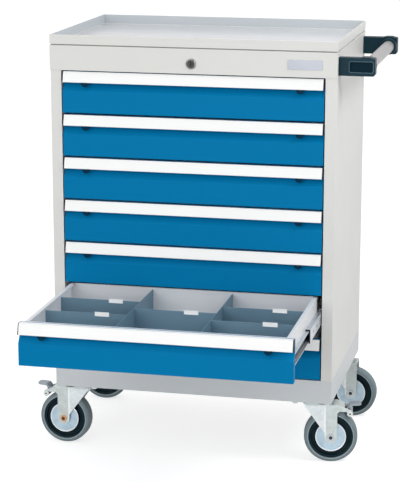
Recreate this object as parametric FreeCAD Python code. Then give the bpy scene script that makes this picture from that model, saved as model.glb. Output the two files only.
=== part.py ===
import FreeCAD, Part
import math
import os

# Drawer cabinet on four swivel casters: seven drawers on telescopic slides, a top tray, a side push
# handle and a central lock. Millimetres. The origin is on the floor, under the centre of the body.
# +X is to the right seen from the front, +Y is to the back, +Z is up. Drawer 6 is shown fully open.

V = FreeCAD.Vector

# Overall sizes of the body and the heights of its storeys
body_width = 660.0
body_depth = 450.0
drawer_count = 7
drawer_pitch = 100.0
plinth_height = 54.0
fascia_height = 57.0
tray_rim_height = 24.0
open_drawer = 6

# Sheet thicknesses and general clearances
carcass_sheet = 1.5
drawer_sheet = 1.2
plinth_sheet = 2.0
touch_gap = 0.3
shaft_gap = 0.05
past = 1.0

# Side panels: front post, rear flange, and the uprights that carry the slides
post_width = 25.0
post_depth = 22.0
rear_flange = 20.0
upright_length = 30.0
upright_setback = 8.0

# Top hood and tray
hood_return = 12.0
hood_lip = 15.0
roof_lap_height = 8.0
roof_lap_length = 170.0
tray_hem = 3.0

# Base frame
plinth_top_flange = 40.0
plinth_bottom_flange = 30.0

# Drawer front: a folded pan, flush with the posts, that slopes back under the grip strip
front_side_gap = 2.5
front_end_gap = 2.5
front_thickness = 18.0
finger_slope_depth = 14.0
finger_slope_height = 20.0

# Grip strip, its end caps and the half-moon clips under it
strip_height = 25.0
strip_wall = 2.0
strip_overhang = 5.0
strip_top_setback = 2.0
strip_lip = 4.0
cap_thickness = 2.0
clip_radius = 9.0
clip_drop = 9.5
clip_thickness = 3.0
clip_inset = 54.0

# Drawer tub, the room behind it, and how much further than its own length it runs out
rear_room = 82.0
extra_travel = 5.0
tub_height = 73.0
tub_rim = 9.0
tub_rim_drop = 5.0
tub_back_rim = 4.0

# Inserts of the open drawer
partition_sheet = 1.5
divider_sheet = 1.2
insert_drop = 4.0
insert_play = 0.3
holder_length = 33.0
holder_height = 10.0
holder_thickness = 1.2
holder_place = 0.7
holder_rise = 3.5

# Telescopic slides: the fixed, the intermediate and the drawer rail sit one inside the other
slide_sheet = 1.5
slide_width = 12.5
cabinet_rail_height = 34.0
rail_running_gap = 0.5
rail_step = 2.0
mid_rail_shortfall = 60.0
rail_hole_count = 5
slide_centre_below_top = 49.0
rail_hole_radius = 4.0
bumper_length = 8.0

# Lock
lock_below_roof = 34.0
rosette_rim = 2.0
rosette_thickness = 2.0
housing_wall = 2.0
housing_length = 26.0
plug_radius = 8.0
plug_proud = 0.8
keyway_width = 2.0
keyway_height = 9.0
keyway_depth = 5.0
rod_radius = 4.0
cam_reach = 14.0
cam_half_width = 3.0
cam_thickness = 5.0
lock_stroke = 12.0
bar_width = 25.0
bar_thickness = 4.0
bar_from_rear = 8.0
head_wall = 4.0
window_height = 32.0
window_play = 5.0
window_gap = 1.0
hook_width = 16.0
hook_thickness = 3.0
hook_clearance = 4.0
keeper_wall = 2.0
keeper_height = 20.0

# Bare plate on the fascia
plate_length = 79.0
plate_height = 22.0
plate_thickness = 0.8
plate_from_side = 71.0
plate_below_roof = 29.0

# Side handle
bracket_length = 82.0
bracket_height = 38.0
bracket_thickness = 26.0
bracket_below_roof = 13.0
bracket_corner = 6.0
front_bracket_setback = 20.0
rear_bracket_setback = 0.0
pocket_length = 52.0
pocket_height = 23.0
pocket_depth = 4.0
pocket_from_end = 5.0
tube_radius = 14.0
tube_wall = 2.0
tube_from_end = 20.0
tube_below_top = 21.0
cup_wall = 5.5
cup_length = 12.0
socket_depth = 22.0
bump_height = 2.0
bump_length = 30.0
bump_root = 1.0

# Casters
caster_headroom = 30.0
caster_inset = 50.0
wheel_radius = 62.5
wheel_width = 32.0
tyre_thickness = 10.5
tyre_shoulder = 7.0
core_setback = 2.0
core_rim = 6.0
core_recess = 6.0
hub_radius = 17.0
trail = 42.0
axle_radius = 6.0
axle_head_radius = 8.5
axle_head = 4.0
guard_radius = 36.0
guard_thickness = 1.2
guard_collar = 4.0
plate_margin_x = 2.5
plate_margin_y = 10.0
plate_sheet = 3.0
swivel_radius = 24.0
swivel_head = 6.0
king_pin_radius = 6.0
rivet_rim = 4.0
rivet_height = 4.0
fork_sheet = 2.5
fork_side_gap = 3.5
fork_leg_width = 29.0
fork_leg_straight = 10.0
fork_nose = 20.0
fork_nose_depth = 4.5
fork_nose_taper = 5.0
fork_crown_below_top = 13.0
fork_wheel_gap = 3.5
bolt_radius = 4.0
bolt_head_radius = 7.2
bolt_head = 5.3
bolt_tail = 2.0
bolt_edge = 10.0
bolt_hole_gap = 0.5

# Rest angles of the two front casters about their king pins, in degrees
front_left_turn = -4.0
front_right_turn = 9.0

# Wings of the braked forks, over the rear of the tyre, and the brake pedals between them
wing_reach = 90.0
wing_cover_reach = 74.0
wing_depth = 16.0
wing_end_depth = 3.0
wing_corner = 8.0
pedal_pivot_reach = 86.0
pedal_pivot_below_crown = 21.0
pedal_pivot_radius = 4.0
pedal_ear_radius = 7.0
pedal_sleeve_wall = 2.5
pedal_reach = 112.0
pedal_height = 21.0
pedal_rise = 1.0
pedal_knee = 6.0
pedal_thickness = 4.0
pedal_half_width = 13.0

# Worked out from the sizes above
half_width = body_width / 2
front_y = -body_depth / 2
caster_height = 2 * wheel_radius + caster_headroom
rear_y = body_depth / 2
plinth_bottom = caster_height
opening_bottom = plinth_bottom + plinth_height
opening_top = opening_bottom + drawer_count * drawer_pitch
roof_z = opening_top + fascia_height
top_z = roof_z + tray_rim_height
fascia_y = front_y - carcass_sheet
opening_half = half_width - post_width
skin_inner = half_width - carcass_sheet
slide_outer = opening_half
tub_half = slide_outer - slide_width
rail_start = front_y + post_depth + rail_step
tub_start = front_y + front_thickness
tub_length = body_depth - front_thickness - rear_room
tub_end = tub_start + tub_length
drawer_travel = tub_length + extra_travel
front_half = opening_half - front_side_gap
axle_z = wheel_radius
fork_half_width = wheel_width / 2 + fork_side_gap + fork_sheet
crown_z = caster_height - fork_crown_below_top
housing_radius = plug_radius + housing_wall
lock_z = roof_z - lock_below_roof
bar_y = rear_y - 2 * carcass_sheet - bar_from_rear


def box(x0, x1, y0, y1, z0, z1):
    """A block between two corners."""
    low = V(min(x0, x1), min(y0, y1), min(z0, z1))
    return Part.makeBox(abs(x1 - x0), abs(y1 - y0), abs(z1 - z0), low)


def prism(points, direction):
    """A flat polygon of points, pushed along a vector."""
    wire = Part.makePolygon(points + [points[0]])
    return Part.Face(wire).extrude(direction)


def prism_x(profile, x0, x1):
    """A (y, z) profile between two places on X."""
    return prism([V(x0, y, z) for y, z in profile], V(x1 - x0, 0, 0))


def prism_y(profile, y0, y1):
    """An (x, z) profile between two places on Y."""
    return prism([V(x, y0, z) for x, z in profile], V(0, y1 - y0, 0))


def prism_z(profile, z0, z1):
    """An (x, y) profile between two heights."""
    return prism([V(x, y, z0) for x, y in profile], V(0, 0, z1 - z0))


def rod_y(radius, x, z, y0, y1):
    """A cylinder along Y."""
    return Part.makeCylinder(radius, y1 - y0, V(x, y0, z), V(0, 1, 0))


def rod_z(radius, x, y, z0, z1):
    """A cylinder along Z."""
    return Part.makeCylinder(radius, z1 - z0, V(x, y, z0), V(0, 0, 1))


def mirror_x(shape):
    """The same shape on the other side of the cabinet's middle."""
    return shape.mirror(V(0, 0, 0), V(1, 0, 0))


def join(shapes):
    """One welded solid out of several blocks."""
    return shapes[0].fuse(shapes[1:]).removeSplitter()


def save(name, solids):
    """Write one node of one or more separate solids."""
    shape = solids[0] if len(solids) == 1 else Part.makeCompound(solids)
    shape.exportStep("parts/" + name + ".step")
    print(name, len(shape.Solids), shape.isValid())


def side_panel():
    """Right side: outer skin, hollow front post, rear flange and two slide uprights in one welding."""
    z0 = opening_bottom
    z1 = roof_z - carcass_sheet
    skin = box(skin_inner, half_width, front_y, rear_y, z0, z1)
    post = box(opening_half, half_width, front_y, front_y + post_depth, z0, z1)
    hollow = box(
        opening_half + carcass_sheet,
        skin_inner,
        front_y + carcass_sheet,
        front_y + post_depth - carcass_sheet,
        z0,
        z1,
    )
    flange = box(half_width - rear_flange, half_width, rear_y - carcass_sheet, rear_y, z0, z1)
    rear_start = rail_start + tub_length - upright_length - upright_setback
    pieces = [skin, post.cut(hollow), flange]
    for start in (rail_start + upright_setback, rear_start):
        channel = box(slide_outer, half_width, start, start + upright_length, z0, opening_top)
        inside = box(
            slide_outer + carcass_sheet,
            skin_inner,
            start + carcass_sheet,
            start + upright_length - carcass_sheet,
            z0,
            opening_top,
        )
        pieces.append(channel.cut(inside))
    return join(pieces)


def top_hood():
    """Fascia with short returns round the corners, roof sheet, and a narrow lap at the rear sides."""
    outer = half_width + carcass_sheet
    pieces = [
        box(-outer, outer, fascia_y, front_y, opening_top, roof_z),
        box(-outer, outer, fascia_y, rear_y, roof_z - carcass_sheet, roof_z),
    ]
    lip_half = opening_half - touch_gap
    pieces.append(
        box(-lip_half, lip_half, fascia_y, front_y + hood_lip, opening_top, opening_top + carcass_sheet)
    )
    for side in (-1, 1):
        inner = side * half_width
        pieces.append(box(inner, side * outer, fascia_y, front_y + hood_return, opening_top, roof_z))
        lap_start = rear_y - roof_lap_length
        pieces.append(box(inner, side * outer, lap_start, rear_y, roof_z - roof_lap_height, roof_z))
    hood = join(pieces)
    return hood.cut(rod_y(housing_radius + shaft_gap, 0, lock_z, fascia_y - past, front_y + past))


def tray_top():
    """Open pan on the roof: a floor and a hemmed rim all round."""
    outer = half_width + carcass_sheet
    block = box(-outer, outer, fascia_y, rear_y, roof_z, top_z)
    inner = outer - tray_hem
    hollow = box(
        -inner, inner, fascia_y + tray_hem, rear_y - tray_hem, roof_z + carcass_sheet, top_z + past
    )
    return block.cut(hollow)


def rear_panel():
    """Rear sheet in front of the side panels' flanges, with two keepers that guide the shifting lock bar."""
    y1 = rear_y - carcass_sheet
    y0 = y1 - carcass_sheet
    half = skin_inner - touch_gap
    pieces = [box(-half, half, y0, y1, opening_bottom + carcass_sheet, roof_z - carcass_sheet)]
    right = bar_width / 2 + touch_gap
    left = right + lock_stroke + window_gap
    inner_y = bar_y - touch_gap
    for z in (opening_bottom + drawer_pitch, opening_top - drawer_pitch):
        keeper_y = inner_y - keeper_wall
        keeper = box(-left - keeper_wall, right + keeper_wall, keeper_y, y0, z, z + keeper_height)
        slot_y = bar_y + bar_thickness + touch_gap
        slot = box(-left, right, inner_y, slot_y, z - past, z + keeper_height + past)
        pieces.append(keeper.cut(slot))
    return join(pieces)


def floor_panel():
    """Bottom sheet of the body, resting on the base frame's top flange between the uprights."""
    half = opening_half - touch_gap
    y0 = front_y + post_depth
    y1 = rear_y - 2 * carcass_sheet
    return box(-half, half, y0, y1, opening_bottom, opening_bottom + carcass_sheet)


def caster_places():
    """Name, centre and rest angle of the four casters; a caster trails along +X at no turn."""
    x = half_width - caster_inset
    y = body_depth / 2 - caster_inset
    return [
        ("front_left", -x, -y, 180 + front_left_turn),
        ("front_right", x, -y, front_right_turn),
        ("rear_left", -x, y, 180),
        ("rear_right", x, y, 0),
    ]


def bolt_places(x, y):
    """The four bolt centres of the caster plate at x, y."""
    places = []
    reach_x = caster_inset - plate_margin_x - bolt_edge
    reach_y = caster_inset - plate_margin_y - bolt_edge
    for dx in (-reach_x, reach_x):
        for dy in (-reach_y, reach_y):
            places.append((x + dx, y + dy))
    return places


def base_frame():
    """Plinth: a sheet ring with flanges turned in at both edges and a gusset over each caster."""
    z0 = plinth_bottom
    z1 = opening_bottom
    ring = box(-half_width, half_width, front_y, rear_y, z0, z1)
    ring = ring.cut(
        box(
            -half_width + plinth_sheet,
            half_width - plinth_sheet,
            front_y + plinth_sheet,
            rear_y - plinth_sheet,
            z0 + plinth_sheet,
            z1 - plinth_sheet,
        )
    )
    top = plinth_top_flange
    ring = ring.cut(
        box(-half_width + top, half_width - top, front_y + top, rear_y - top, z1 - plinth_sheet, z1)
    )
    low = plinth_bottom_flange
    ring = ring.cut(
        box(-half_width + low, half_width - low, front_y + low, rear_y - low, z0, z0 + plinth_sheet)
    )
    pieces = [ring]
    gusset = 2 * caster_inset
    for name, x, y, turn in caster_places():
        pieces.append(
            box(x - gusset / 2, x + gusset / 2, y - gusset / 2, y + gusset / 2, z0, z0 + plinth_sheet)
        )
    frame = join(pieces)
    holes = []
    for name, x, y, turn in caster_places():
        for bx, by in bolt_places(x, y):
            holes.append(rod_z(bolt_radius + bolt_hole_gap, bx, by, z0 - past, z0 + plinth_sheet + past))
    return frame.cut(holes)


def channel_y(web_x, flange_x, half_height, centre_z, y0, y1):
    """A rail of C section along Y: web at web_x, flanges reaching to flange_x."""
    side = 1 if flange_x < web_x else -1
    outer = box(flange_x, web_x, y0, y1, centre_z - half_height, centre_z + half_height)
    inner_half = half_height - slide_sheet
    web_face = web_x - side * slide_sheet
    low = centre_z - inner_half
    inner = box(flange_x - side * past, web_face, y0 - past, y1 + past, low, centre_z + inner_half)
    return outer.cut(inner)


def slide_half_heights():
    """Half heights of the cabinet, intermediate and drawer rails, each inside the one before."""
    cabinet = cabinet_rail_height / 2
    mid = cabinet - slide_sheet - rail_running_gap
    drawer = mid - slide_sheet - rail_running_gap
    return cabinet, mid, drawer


def slide_z(top):
    """Height of the slide's middle on a drawer whose strip has its top at this height."""
    return top - slide_centre_below_top


def strip_top(number):
    """Height of a drawer's top edge; drawer 1 is the uppermost."""
    return opening_top - (number - 1) * drawer_pitch - front_end_gap


def cabinet_rails():
    """The fixed rails of all slides, two for each drawer, flat against the uprights."""
    rails = []
    half = slide_half_heights()[0]
    for number in range(1, drawer_count + 1):
        z = slide_z(strip_top(number))
        rail = channel_y(
            slide_outer, tub_half + rail_step, half, z, rail_start, rail_start + tub_length
        )
        rails += [rail, mirror_x(rail)]
    return rails


def mid_rails(number, shift):
    """The two intermediate rails of one drawer, each with a row of holes and a bumper at the front."""
    half = slide_half_heights()[1]
    z = slide_z(strip_top(number))
    web_x = slide_outer - slide_sheet - rail_running_gap
    flange_x = tub_half + rail_running_gap
    y0 = rail_start + shift / 2
    length = tub_length - mid_rail_shortfall
    y1 = y0 + length
    rail = channel_y(web_x, flange_x, half, z, y0 + bumper_length, y1)
    for step in range(1, rail_hole_count + 1):
        y = y0 + step * length / (rail_hole_count + 1)
        start = V(web_x - slide_sheet - past, y, z)
        rail = rail.cut(Part.makeCylinder(rail_hole_radius, slide_sheet + 2 * past, start, V(1, 0, 0)))
    bumper = box(flange_x + rail_running_gap, web_x, y0, y0 + bumper_length, z - half, z + half)
    inner = slide_half_heights()[2] + rail_running_gap
    inner_web = web_x - slide_sheet
    bumper = bumper.cut(box(flange_x - past, inner_web, y0 - past, y1, z - inner, z + inner))
    return [rail, bumper, mirror_x(rail), mirror_x(bumper)]


def drawer_box(number, shift):
    """Tub of one drawer with its two drawer rails; the rims are turned inward."""
    top = strip_top(number)
    low = top - tub_height
    y0 = tub_start + shift
    y1 = tub_end + shift
    sheet = drawer_sheet
    tub = box(-tub_half, tub_half, y0, y1, low, top)
    tub = tub.cut(
        box(-tub_half + sheet, tub_half - sheet, y0 + sheet, y1 - sheet, low + sheet, top + past)
    )
    pieces = [tub]
    for side in (-1, 1):
        wall = side * tub_half
        rim = side * (tub_half - tub_rim)
        lip = side * (tub_half - tub_rim + sheet)
        pieces.append(box(wall, rim, y0, y1, top - sheet, top))
        pieces.append(box(lip, rim, y0, y1, top - tub_rim_drop, top))
    pieces.append(box(-tub_half, tub_half, y0, y0 + tub_back_rim, top - sheet, top))
    pieces.append(box(-tub_half, tub_half, y1 - tub_back_rim, y1, top - sheet, top))
    half = slide_half_heights()[2]
    flange_x = slide_outer - 2 * (slide_sheet + rail_running_gap)
    rail_y = rail_start + shift
    rail = channel_y(tub_half, flange_x, half, slide_z(top), rail_y, y1 - rail_step)
    return [join(pieces), rail, mirror_x(rail)]


def drawer_front(number, shift):
    """Blue front: a folded pan, open at the back, whose face slopes back under the strip."""
    top = strip_top(number)
    bottom = top - drawer_pitch + 2 * front_end_gap
    slope_top = top - strip_height
    slope_bottom = slope_top - finger_slope_height
    face = front_y + shift
    back = face + front_thickness
    deep = face + finger_slope_depth
    sheet = drawer_sheet
    outline = [
        (face, bottom),
        (face, slope_bottom),
        (deep, slope_top),
        (deep, top),
        (back, top),
        (back, bottom),
    ]
    hollow = [
        (face + sheet, bottom + sheet),
        (face + sheet, slope_bottom),
        (deep + sheet, slope_top),
        (deep + sheet, top - sheet),
        (back + past, top - sheet),
        (back + past, bottom + sheet),
    ]
    pan = prism_x(outline, -front_half, front_half)
    return pan.cut(prism_x(hollow, -front_half + sheet, front_half - sheet))


def grip_strip(number, shift):
    """White strip that overhangs the finger slope, with two end caps and two half-moon clips."""
    top = strip_top(number)
    low = top - strip_height
    face = front_y + shift
    back = face + finger_slope_depth
    top_front = face + strip_top_setback
    low_front = face - strip_overhang
    wall = strip_wall
    lean = (top_front - low_front) / strip_height * wall
    section = [
        (back, top),
        (top_front, top),
        (low_front, low),
        (low_front + strip_lip, low),
        (low_front + strip_lip, low + wall),
        (low_front + wall + lean, low + wall),
        (top_front + wall - lean, top - wall),
        (back, top - wall),
    ]
    closed = [
        (back, top),
        (top_front, top),
        (low_front, low),
        (low_front + strip_lip, low),
        (back, top - strip_height / 4),
    ]
    end = front_half - cap_thickness
    solids = [prism_x(section, -end, end)]
    for side in (-1, 1):
        solids.append(prism_x(closed, side * end, side * front_half))
        x = side * (front_half - clip_inset)
        y0 = low_front
        y1 = y0 + clip_thickness
        disc = rod_y(clip_radius, x, low + clip_radius - clip_drop, y0, y1)
        left = x - clip_radius
        solids.append(disc.common(box(left, left + 2 * clip_radius, y0, y1, low - clip_drop, low)))
    return solids


def insert_columns():
    """Left and right limits of the three columns of compartments in the open drawer."""
    inner = tub_half - tub_rim - insert_play
    column = (2 * inner - 2 * partition_sheet) / 3
    columns = []
    for index in range(3):
        left = -inner + index * (column + partition_sheet)
        columns.append((left, left + column))
    return columns


def insert_levels():
    """Lower and upper edge of the partitions in the open drawer."""
    top = strip_top(open_drawer)
    return top - tub_height + drawer_sheet, top - insert_drop - drawer_sheet


def divider_places():
    """Left and right end, and the front face, of each cross divider in the open drawer."""
    start = tub_start - drawer_travel + drawer_sheet
    depth = tub_length - 2 * drawer_sheet
    places = []
    for index, (left, right) in enumerate(insert_columns()):
        shares = (1 / 2,) if index == 1 else (1 / 3, 2 / 3)
        for share in shares:
            places.append((left + insert_play, right - insert_play, start + share * depth))
    return places


def drawer_dividers():
    """Two lengthwise partitions and five cross dividers, all standing on the tub's floor."""
    low, high = insert_levels()
    y0 = tub_start - drawer_travel + drawer_sheet + insert_play
    y1 = tub_end - drawer_travel - drawer_sheet - insert_play
    sheets = []
    for left, right in insert_columns()[:2]:
        sheets.append(box(right, right + partition_sheet, y0, y1, low, high))
    for left, right, y in divider_places():
        sheets.append(box(left, right, y, y + divider_sheet, low, high))
    return sheets


def label_holders():
    """A small label holder on the front of each cross divider, standing just above its top edge."""
    high = insert_levels()[1] + holder_rise
    holders = []
    for left, right, y in divider_places():
        x = left + holder_place * (right - left)
        holders.append(
            box(
                x - holder_length / 2,
                x + holder_length / 2,
                y - holder_thickness,
                y,
                high - holder_height,
                high,
            )
        )
    return holders


def lock_housing():
    """Sleeve through the fascia with its bright rosette in front."""
    y0 = fascia_y - rosette_thickness
    y1 = fascia_y + housing_length
    rosette = rod_y(housing_radius + rosette_rim, 0, lock_z, y0, fascia_y)
    sleeve = rod_y(housing_radius, 0, lock_z, fascia_y, y1)
    bore = rod_y(plug_radius + shaft_gap, 0, lock_z, y0 - past, y1 + past)
    return rosette.fuse(sleeve).cut(bore)


def lock_cylinder():
    """Plug with a keyway and the torsion rod that carries the cam at the rear."""
    y0 = fascia_y - rosette_thickness - plug_proud
    y1 = fascia_y + housing_length + touch_gap
    plug = rod_y(plug_radius, 0, lock_z, y0, y1)
    key = box(
        -keyway_width / 2,
        keyway_width / 2,
        y0 - past,
        y0 + keyway_depth,
        lock_z - keyway_height / 2,
        lock_z + keyway_height / 2,
    )
    plug = plug.cut(key)
    cam_y = bar_y - touch_gap
    rod = rod_y(rod_radius, 0, lock_z, y1, cam_y + cam_thickness)
    cam = box(-cam_half_width, cam_half_width, cam_y, cam_y + cam_thickness, lock_z, lock_z + cam_reach)
    return [plug, rod.fuse(cam)]


def lock_bar():
    """Upright bar behind the drawers, with a window for the cam and a hook towards each drawer."""
    half = bar_width / 2
    z0 = opening_bottom + carcass_sheet + touch_gap
    z1 = lock_z + window_height / 2
    y1 = bar_y + bar_thickness
    window_left = -cam_half_width - window_play
    window_right = rod_radius + lock_stroke + window_gap
    head_left = window_left - head_wall
    head_right = window_right + head_wall
    pieces = [
        box(-half, half, bar_y, y1, z0, z1 + head_wall),
        box(head_left, head_right, bar_y, y1, z1 - window_height - head_wall, z1 + head_wall),
    ]
    hook_start = tub_end + hook_clearance
    for number in range(1, drawer_count + 1):
        z = slide_z(strip_top(number))
        pieces.append(box(-hook_width / 2, hook_width / 2, hook_start, y1, z, z + hook_thickness))
    bar = join(pieces)
    return bar.cut(box(window_left, window_right, bar_y - past, y1 + past, z1 - window_height, z1))


def name_plate():
    """Bare silver plate at the right end of the fascia."""
    x = half_width - plate_from_side
    z = roof_z - plate_below_roof
    return box(
        x - plate_length / 2,
        x + plate_length / 2,
        fascia_y - plate_thickness,
        fascia_y,
        z - plate_height / 2,
        z + plate_height / 2,
    )


def tube_place():
    """X and Z of the handle tube's axis."""
    top = roof_z - bracket_below_roof
    return half_width + bracket_length - tube_from_end, top - tube_below_top


def bracket_spans():
    """Front and rear face of the two handle brackets."""
    first = front_y + front_bracket_setback
    last = rear_y - rear_bracket_setback
    return (first, first + bracket_thickness), (last - bracket_thickness, last)


def handle_bracket(y0, y1, inward):
    """Plastic bracket on the side panel; inward is +1 where the tube leaves towards +Y."""
    top = roof_z - bracket_below_roof
    low = top - bracket_height
    end = half_width + bracket_length
    tube_x, tube_z = tube_place()
    block = box(half_width, end, y0, y1, low, top)
    corners = []
    for edge in block.Edges:
        low_x = min(vertex.X for vertex in edge.Vertexes)
        across = abs(edge.Vertexes[0].Y - edge.Vertexes[1].Y) > past
        if across and low_x > end - past:
            corners.append(edge)
    block = block.makeFillet(bracket_corner, corners)
    half_bump = bump_length / 2
    bump = prism_y(
        [
            (tube_x - half_bump, top - bump_root),
            (tube_x - half_bump / 2, top + bump_height),
            (tube_x + half_bump / 2, top + bump_height),
            (tube_x + half_bump, top - bump_root),
        ],
        y0,
        y1,
    )
    face = y1 if inward > 0 else y0
    tip = face + inward * cup_length
    cup = rod_y(tube_radius + cup_wall, tube_x, tube_z, min(face, tip), max(face, tip))
    deep = tip - inward * socket_depth
    socket = rod_y(tube_radius + shaft_gap, tube_x, tube_z, min(tip, deep), max(tip, deep))
    outer_face = y0 if inward > 0 else y1
    middle = (low + top) / 2
    pocket = box(
        end - pocket_from_end - pocket_length,
        end - pocket_from_end,
        outer_face,
        outer_face + inward * pocket_depth,
        middle - pocket_height / 2,
        middle + pocket_height / 2,
    )
    return block.fuse([bump, cup]).cut([socket, pocket]).removeSplitter()


def handle_tube():
    """Grip tube between the two brackets, seated in their sockets."""
    tube_x, tube_z = tube_place()
    first, last = bracket_spans()
    seat = socket_depth - cup_length
    y0 = first[1] - seat
    y1 = last[0] + seat
    outer = rod_y(tube_radius, tube_x, tube_z, y0, y1)
    return outer.cut(rod_y(tube_radius - tube_wall, tube_x, tube_z, y0 - past, y1 + past))


def place_caster(shape, x, y, turn):
    """Turn a shape in caster coordinates about the king pin and move it to its corner of the cabinet."""
    placed = shape.copy()
    placed.rotate(V(0, 0, 0), V(0, 0, 1), turn)
    placed.translate(V(x, y, 0))
    return placed


def caster_plate():
    """Top plate with its four bolt holes, swivel head and king pin, at the caster's own origin."""
    top = caster_height
    half_x = caster_inset - plate_margin_x
    half_y = caster_inset - plate_margin_y
    plate = box(-half_x, half_x, -half_y, half_y, top - plate_sheet, top)
    holes = []
    for bx, by in bolt_places(0, 0):
        holes.append(rod_z(bolt_radius + bolt_hole_gap, bx, by, top - plate_sheet - past, top + past))
    plate = plate.cut(holes)
    head = rod_z(swivel_radius, 0, 0, top - plate_sheet - swivel_head, top - plate_sheet)
    pin_low = crown_z - fork_sheet - touch_gap
    pin = rod_z(king_pin_radius, 0, 0, pin_low, top - plate_sheet)
    rivet = rod_z(king_pin_radius + rivet_rim, 0, 0, pin_low - rivet_height, pin_low)
    return plate.fuse([head, pin, rivet]).removeSplitter()


def caster_bolts():
    """Hexagon bolts from below, and their nuts above the gussets: sixteen of each."""
    solids = []
    low = caster_height - plate_sheet
    high = caster_height + plinth_sheet
    nut_top = high + bolt_head
    for name, x, y, turn in caster_places():
        for bx, by in bolt_places(x, y):
            shank = rod_z(bolt_radius, bx, by, low, nut_top + bolt_tail)
            solids.append(shank.fuse(hexagon(bx, by, low - bolt_head, low)))
            bore = rod_z(bolt_radius + shaft_gap, bx, by, high - past, nut_top + past)
            solids.append(hexagon(bx, by, high, nut_top).cut(bore))
    return solids


def hexagon(x, y, z0, z1):
    """A hexagonal bolt head or nut."""
    corners = []
    for step in range(6):
        angle = math.radians(60 * step)
        corners.append((x + bolt_head_radius * math.cos(angle), y + bolt_head_radius * math.sin(angle)))
    return prism_z(corners, z0, z1)


def fork_outline(inset):
    """Side outline (x, z) of a fork without its ears; inset pulls the nose and crown inward."""
    crown = crown_z - inset
    leg_front = trail - fork_leg_width / 2
    leg_rear = trail + fork_leg_width / 2
    nose = -fork_nose + inset
    return [
        (leg_front, axle_z),
        (leg_front, axle_z + fork_leg_straight),
        (nose, crown - fork_nose_depth),
        (nose, crown),
        (leg_rear, crown),
        (leg_rear, axle_z),
    ]


def fork_plan(inset):
    """Plan outline (x, y) of a fork: flat legs, then facets that close towards the nose."""
    fold = trail - fork_leg_width / 2
    side = fork_half_width - inset
    nose_side = fork_half_width - fork_nose_taper - inset
    nose = -fork_nose + inset
    rear = wing_reach + 2 * pedal_ear_radius
    return [(nose, -nose_side), (fold, -side), (rear, -side), (rear, side), (fold, side), (nose, nose_side)]


def wing_outline(inset, low, end):
    """Side outline (x, z) of a wing: from the leg's rear its top edge slopes down towards the end."""
    leg_rear = trail + fork_leg_width / 2
    fall = (wing_depth - wing_end_depth) / (wing_reach - leg_rear)
    top = crown_z - inset
    return [
        (leg_rear - fork_sheet, low),
        (end, low),
        (end, top - fall * (end - leg_rear)),
        (leg_rear, top),
        (leg_rear - fork_sheet, top),
    ]


def fork_wings():
    """The solid form of both wings with their rounded corners at the legs and their pivot ears."""
    side = fork_half_width
    leg_rear = trail + fork_leg_width / 2
    low = crown_z - wing_depth
    wing = prism_y(wing_outline(0, low, wing_reach), -side, side)
    corner = box(leg_rear - past, leg_rear + wing_corner, -side, side, low - wing_corner, low + past)
    corner = corner.cut(rod_y(wing_corner, leg_rear + wing_corner, low - wing_corner, -side, side))
    ear = rod_y(pedal_ear_radius, pedal_pivot_reach, pedal_pivot_z(), -side, side)
    return [wing, corner, ear]


def caster_fork(braked):
    """Pressed fork: crown with its swivel ring, two legs round the wheel, wings if it has a brake."""
    side = fork_half_width
    inner_side = side - fork_sheet
    leg_rear = trail + fork_leg_width / 2
    body = prism_y(fork_outline(0), -side, side)
    body = body.fuse(rod_y(fork_leg_width / 2, trail, axle_z, -side, side))
    if braked:
        body = body.fuse(fork_wings())
    body = body.common(prism_z(fork_plan(0), 0, crown_z))
    room_z = axle_z + wheel_radius + fork_wheel_gap
    wheel_room = rod_y(wheel_radius + fork_wheel_gap, trail, axle_z, -inner_side, inner_side)
    hollow = prism_y(fork_outline(fork_sheet), -inner_side, inner_side).fuse(wheel_room)
    under = box(-fork_nose + fork_sheet, leg_rear + past, -inner_side, inner_side, axle_z, room_z)
    hollow = hollow.fuse(under).common(prism_z(fork_plan(fork_sheet), 0, crown_z - fork_sheet))
    body = body.cut(hollow)
    if braked:
        end = wing_reach + pedal_ear_radius
        inside = prism_y(wing_outline(fork_sheet, axle_z, end), -inner_side, inner_side)
        above = box(wing_cover_reach, end, -inner_side, inner_side, axle_z, crown_z + past)
        body = body.cut([inside, above])
    ring_top = caster_height - plate_sheet - swivel_head - touch_gap
    ring = rod_z(swivel_radius, 0, 0, crown_z - fork_sheet, ring_top)
    bore = rod_z(king_pin_radius + shaft_gap, 0, 0, crown_z - fork_sheet - past, ring_top + past)
    axle_hole = rod_y(axle_radius + shaft_gap, trail, axle_z, -side - past, side + past)
    body = body.fuse(ring).cut([bore, axle_hole])
    if braked:
        body = body.fuse(rod_y(pedal_pivot_radius, pedal_pivot_reach, pedal_pivot_z(), -side, side))
    return body.removeSplitter()


def pedal_pivot_z():
    """Height of the brake pedal's pivot, in the ears of the fork's wings."""
    return crown_z - pedal_pivot_below_crown


def axle_set():
    """Axle bolt with its head and nut, and the two thread guards beside the wheel."""
    reach = fork_half_width + axle_head
    bolt = rod_y(axle_radius, trail, axle_z, -reach, reach)
    for side in (-1, 1):
        near = side * fork_half_width
        far = side * reach
        bolt = bolt.fuse(rod_y(axle_head_radius, trail, axle_z, min(near, far), max(near, far)))
    solids = [bolt]
    inner = fork_half_width - fork_sheet
    face = wheel_width / 2 - core_setback + touch_gap
    disc = rod_y(guard_radius, trail, axle_z, face, face + guard_thickness)
    collar = rod_y(axle_radius + guard_collar, trail, axle_z, face, inner)
    bore = rod_y(axle_radius + shaft_gap, trail, axle_z, face - past, inner + past)
    guard = disc.fuse(collar).cut(bore)
    return solids + [guard, guard.mirror(V(0, 0, 0), V(0, 1, 0))]


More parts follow.
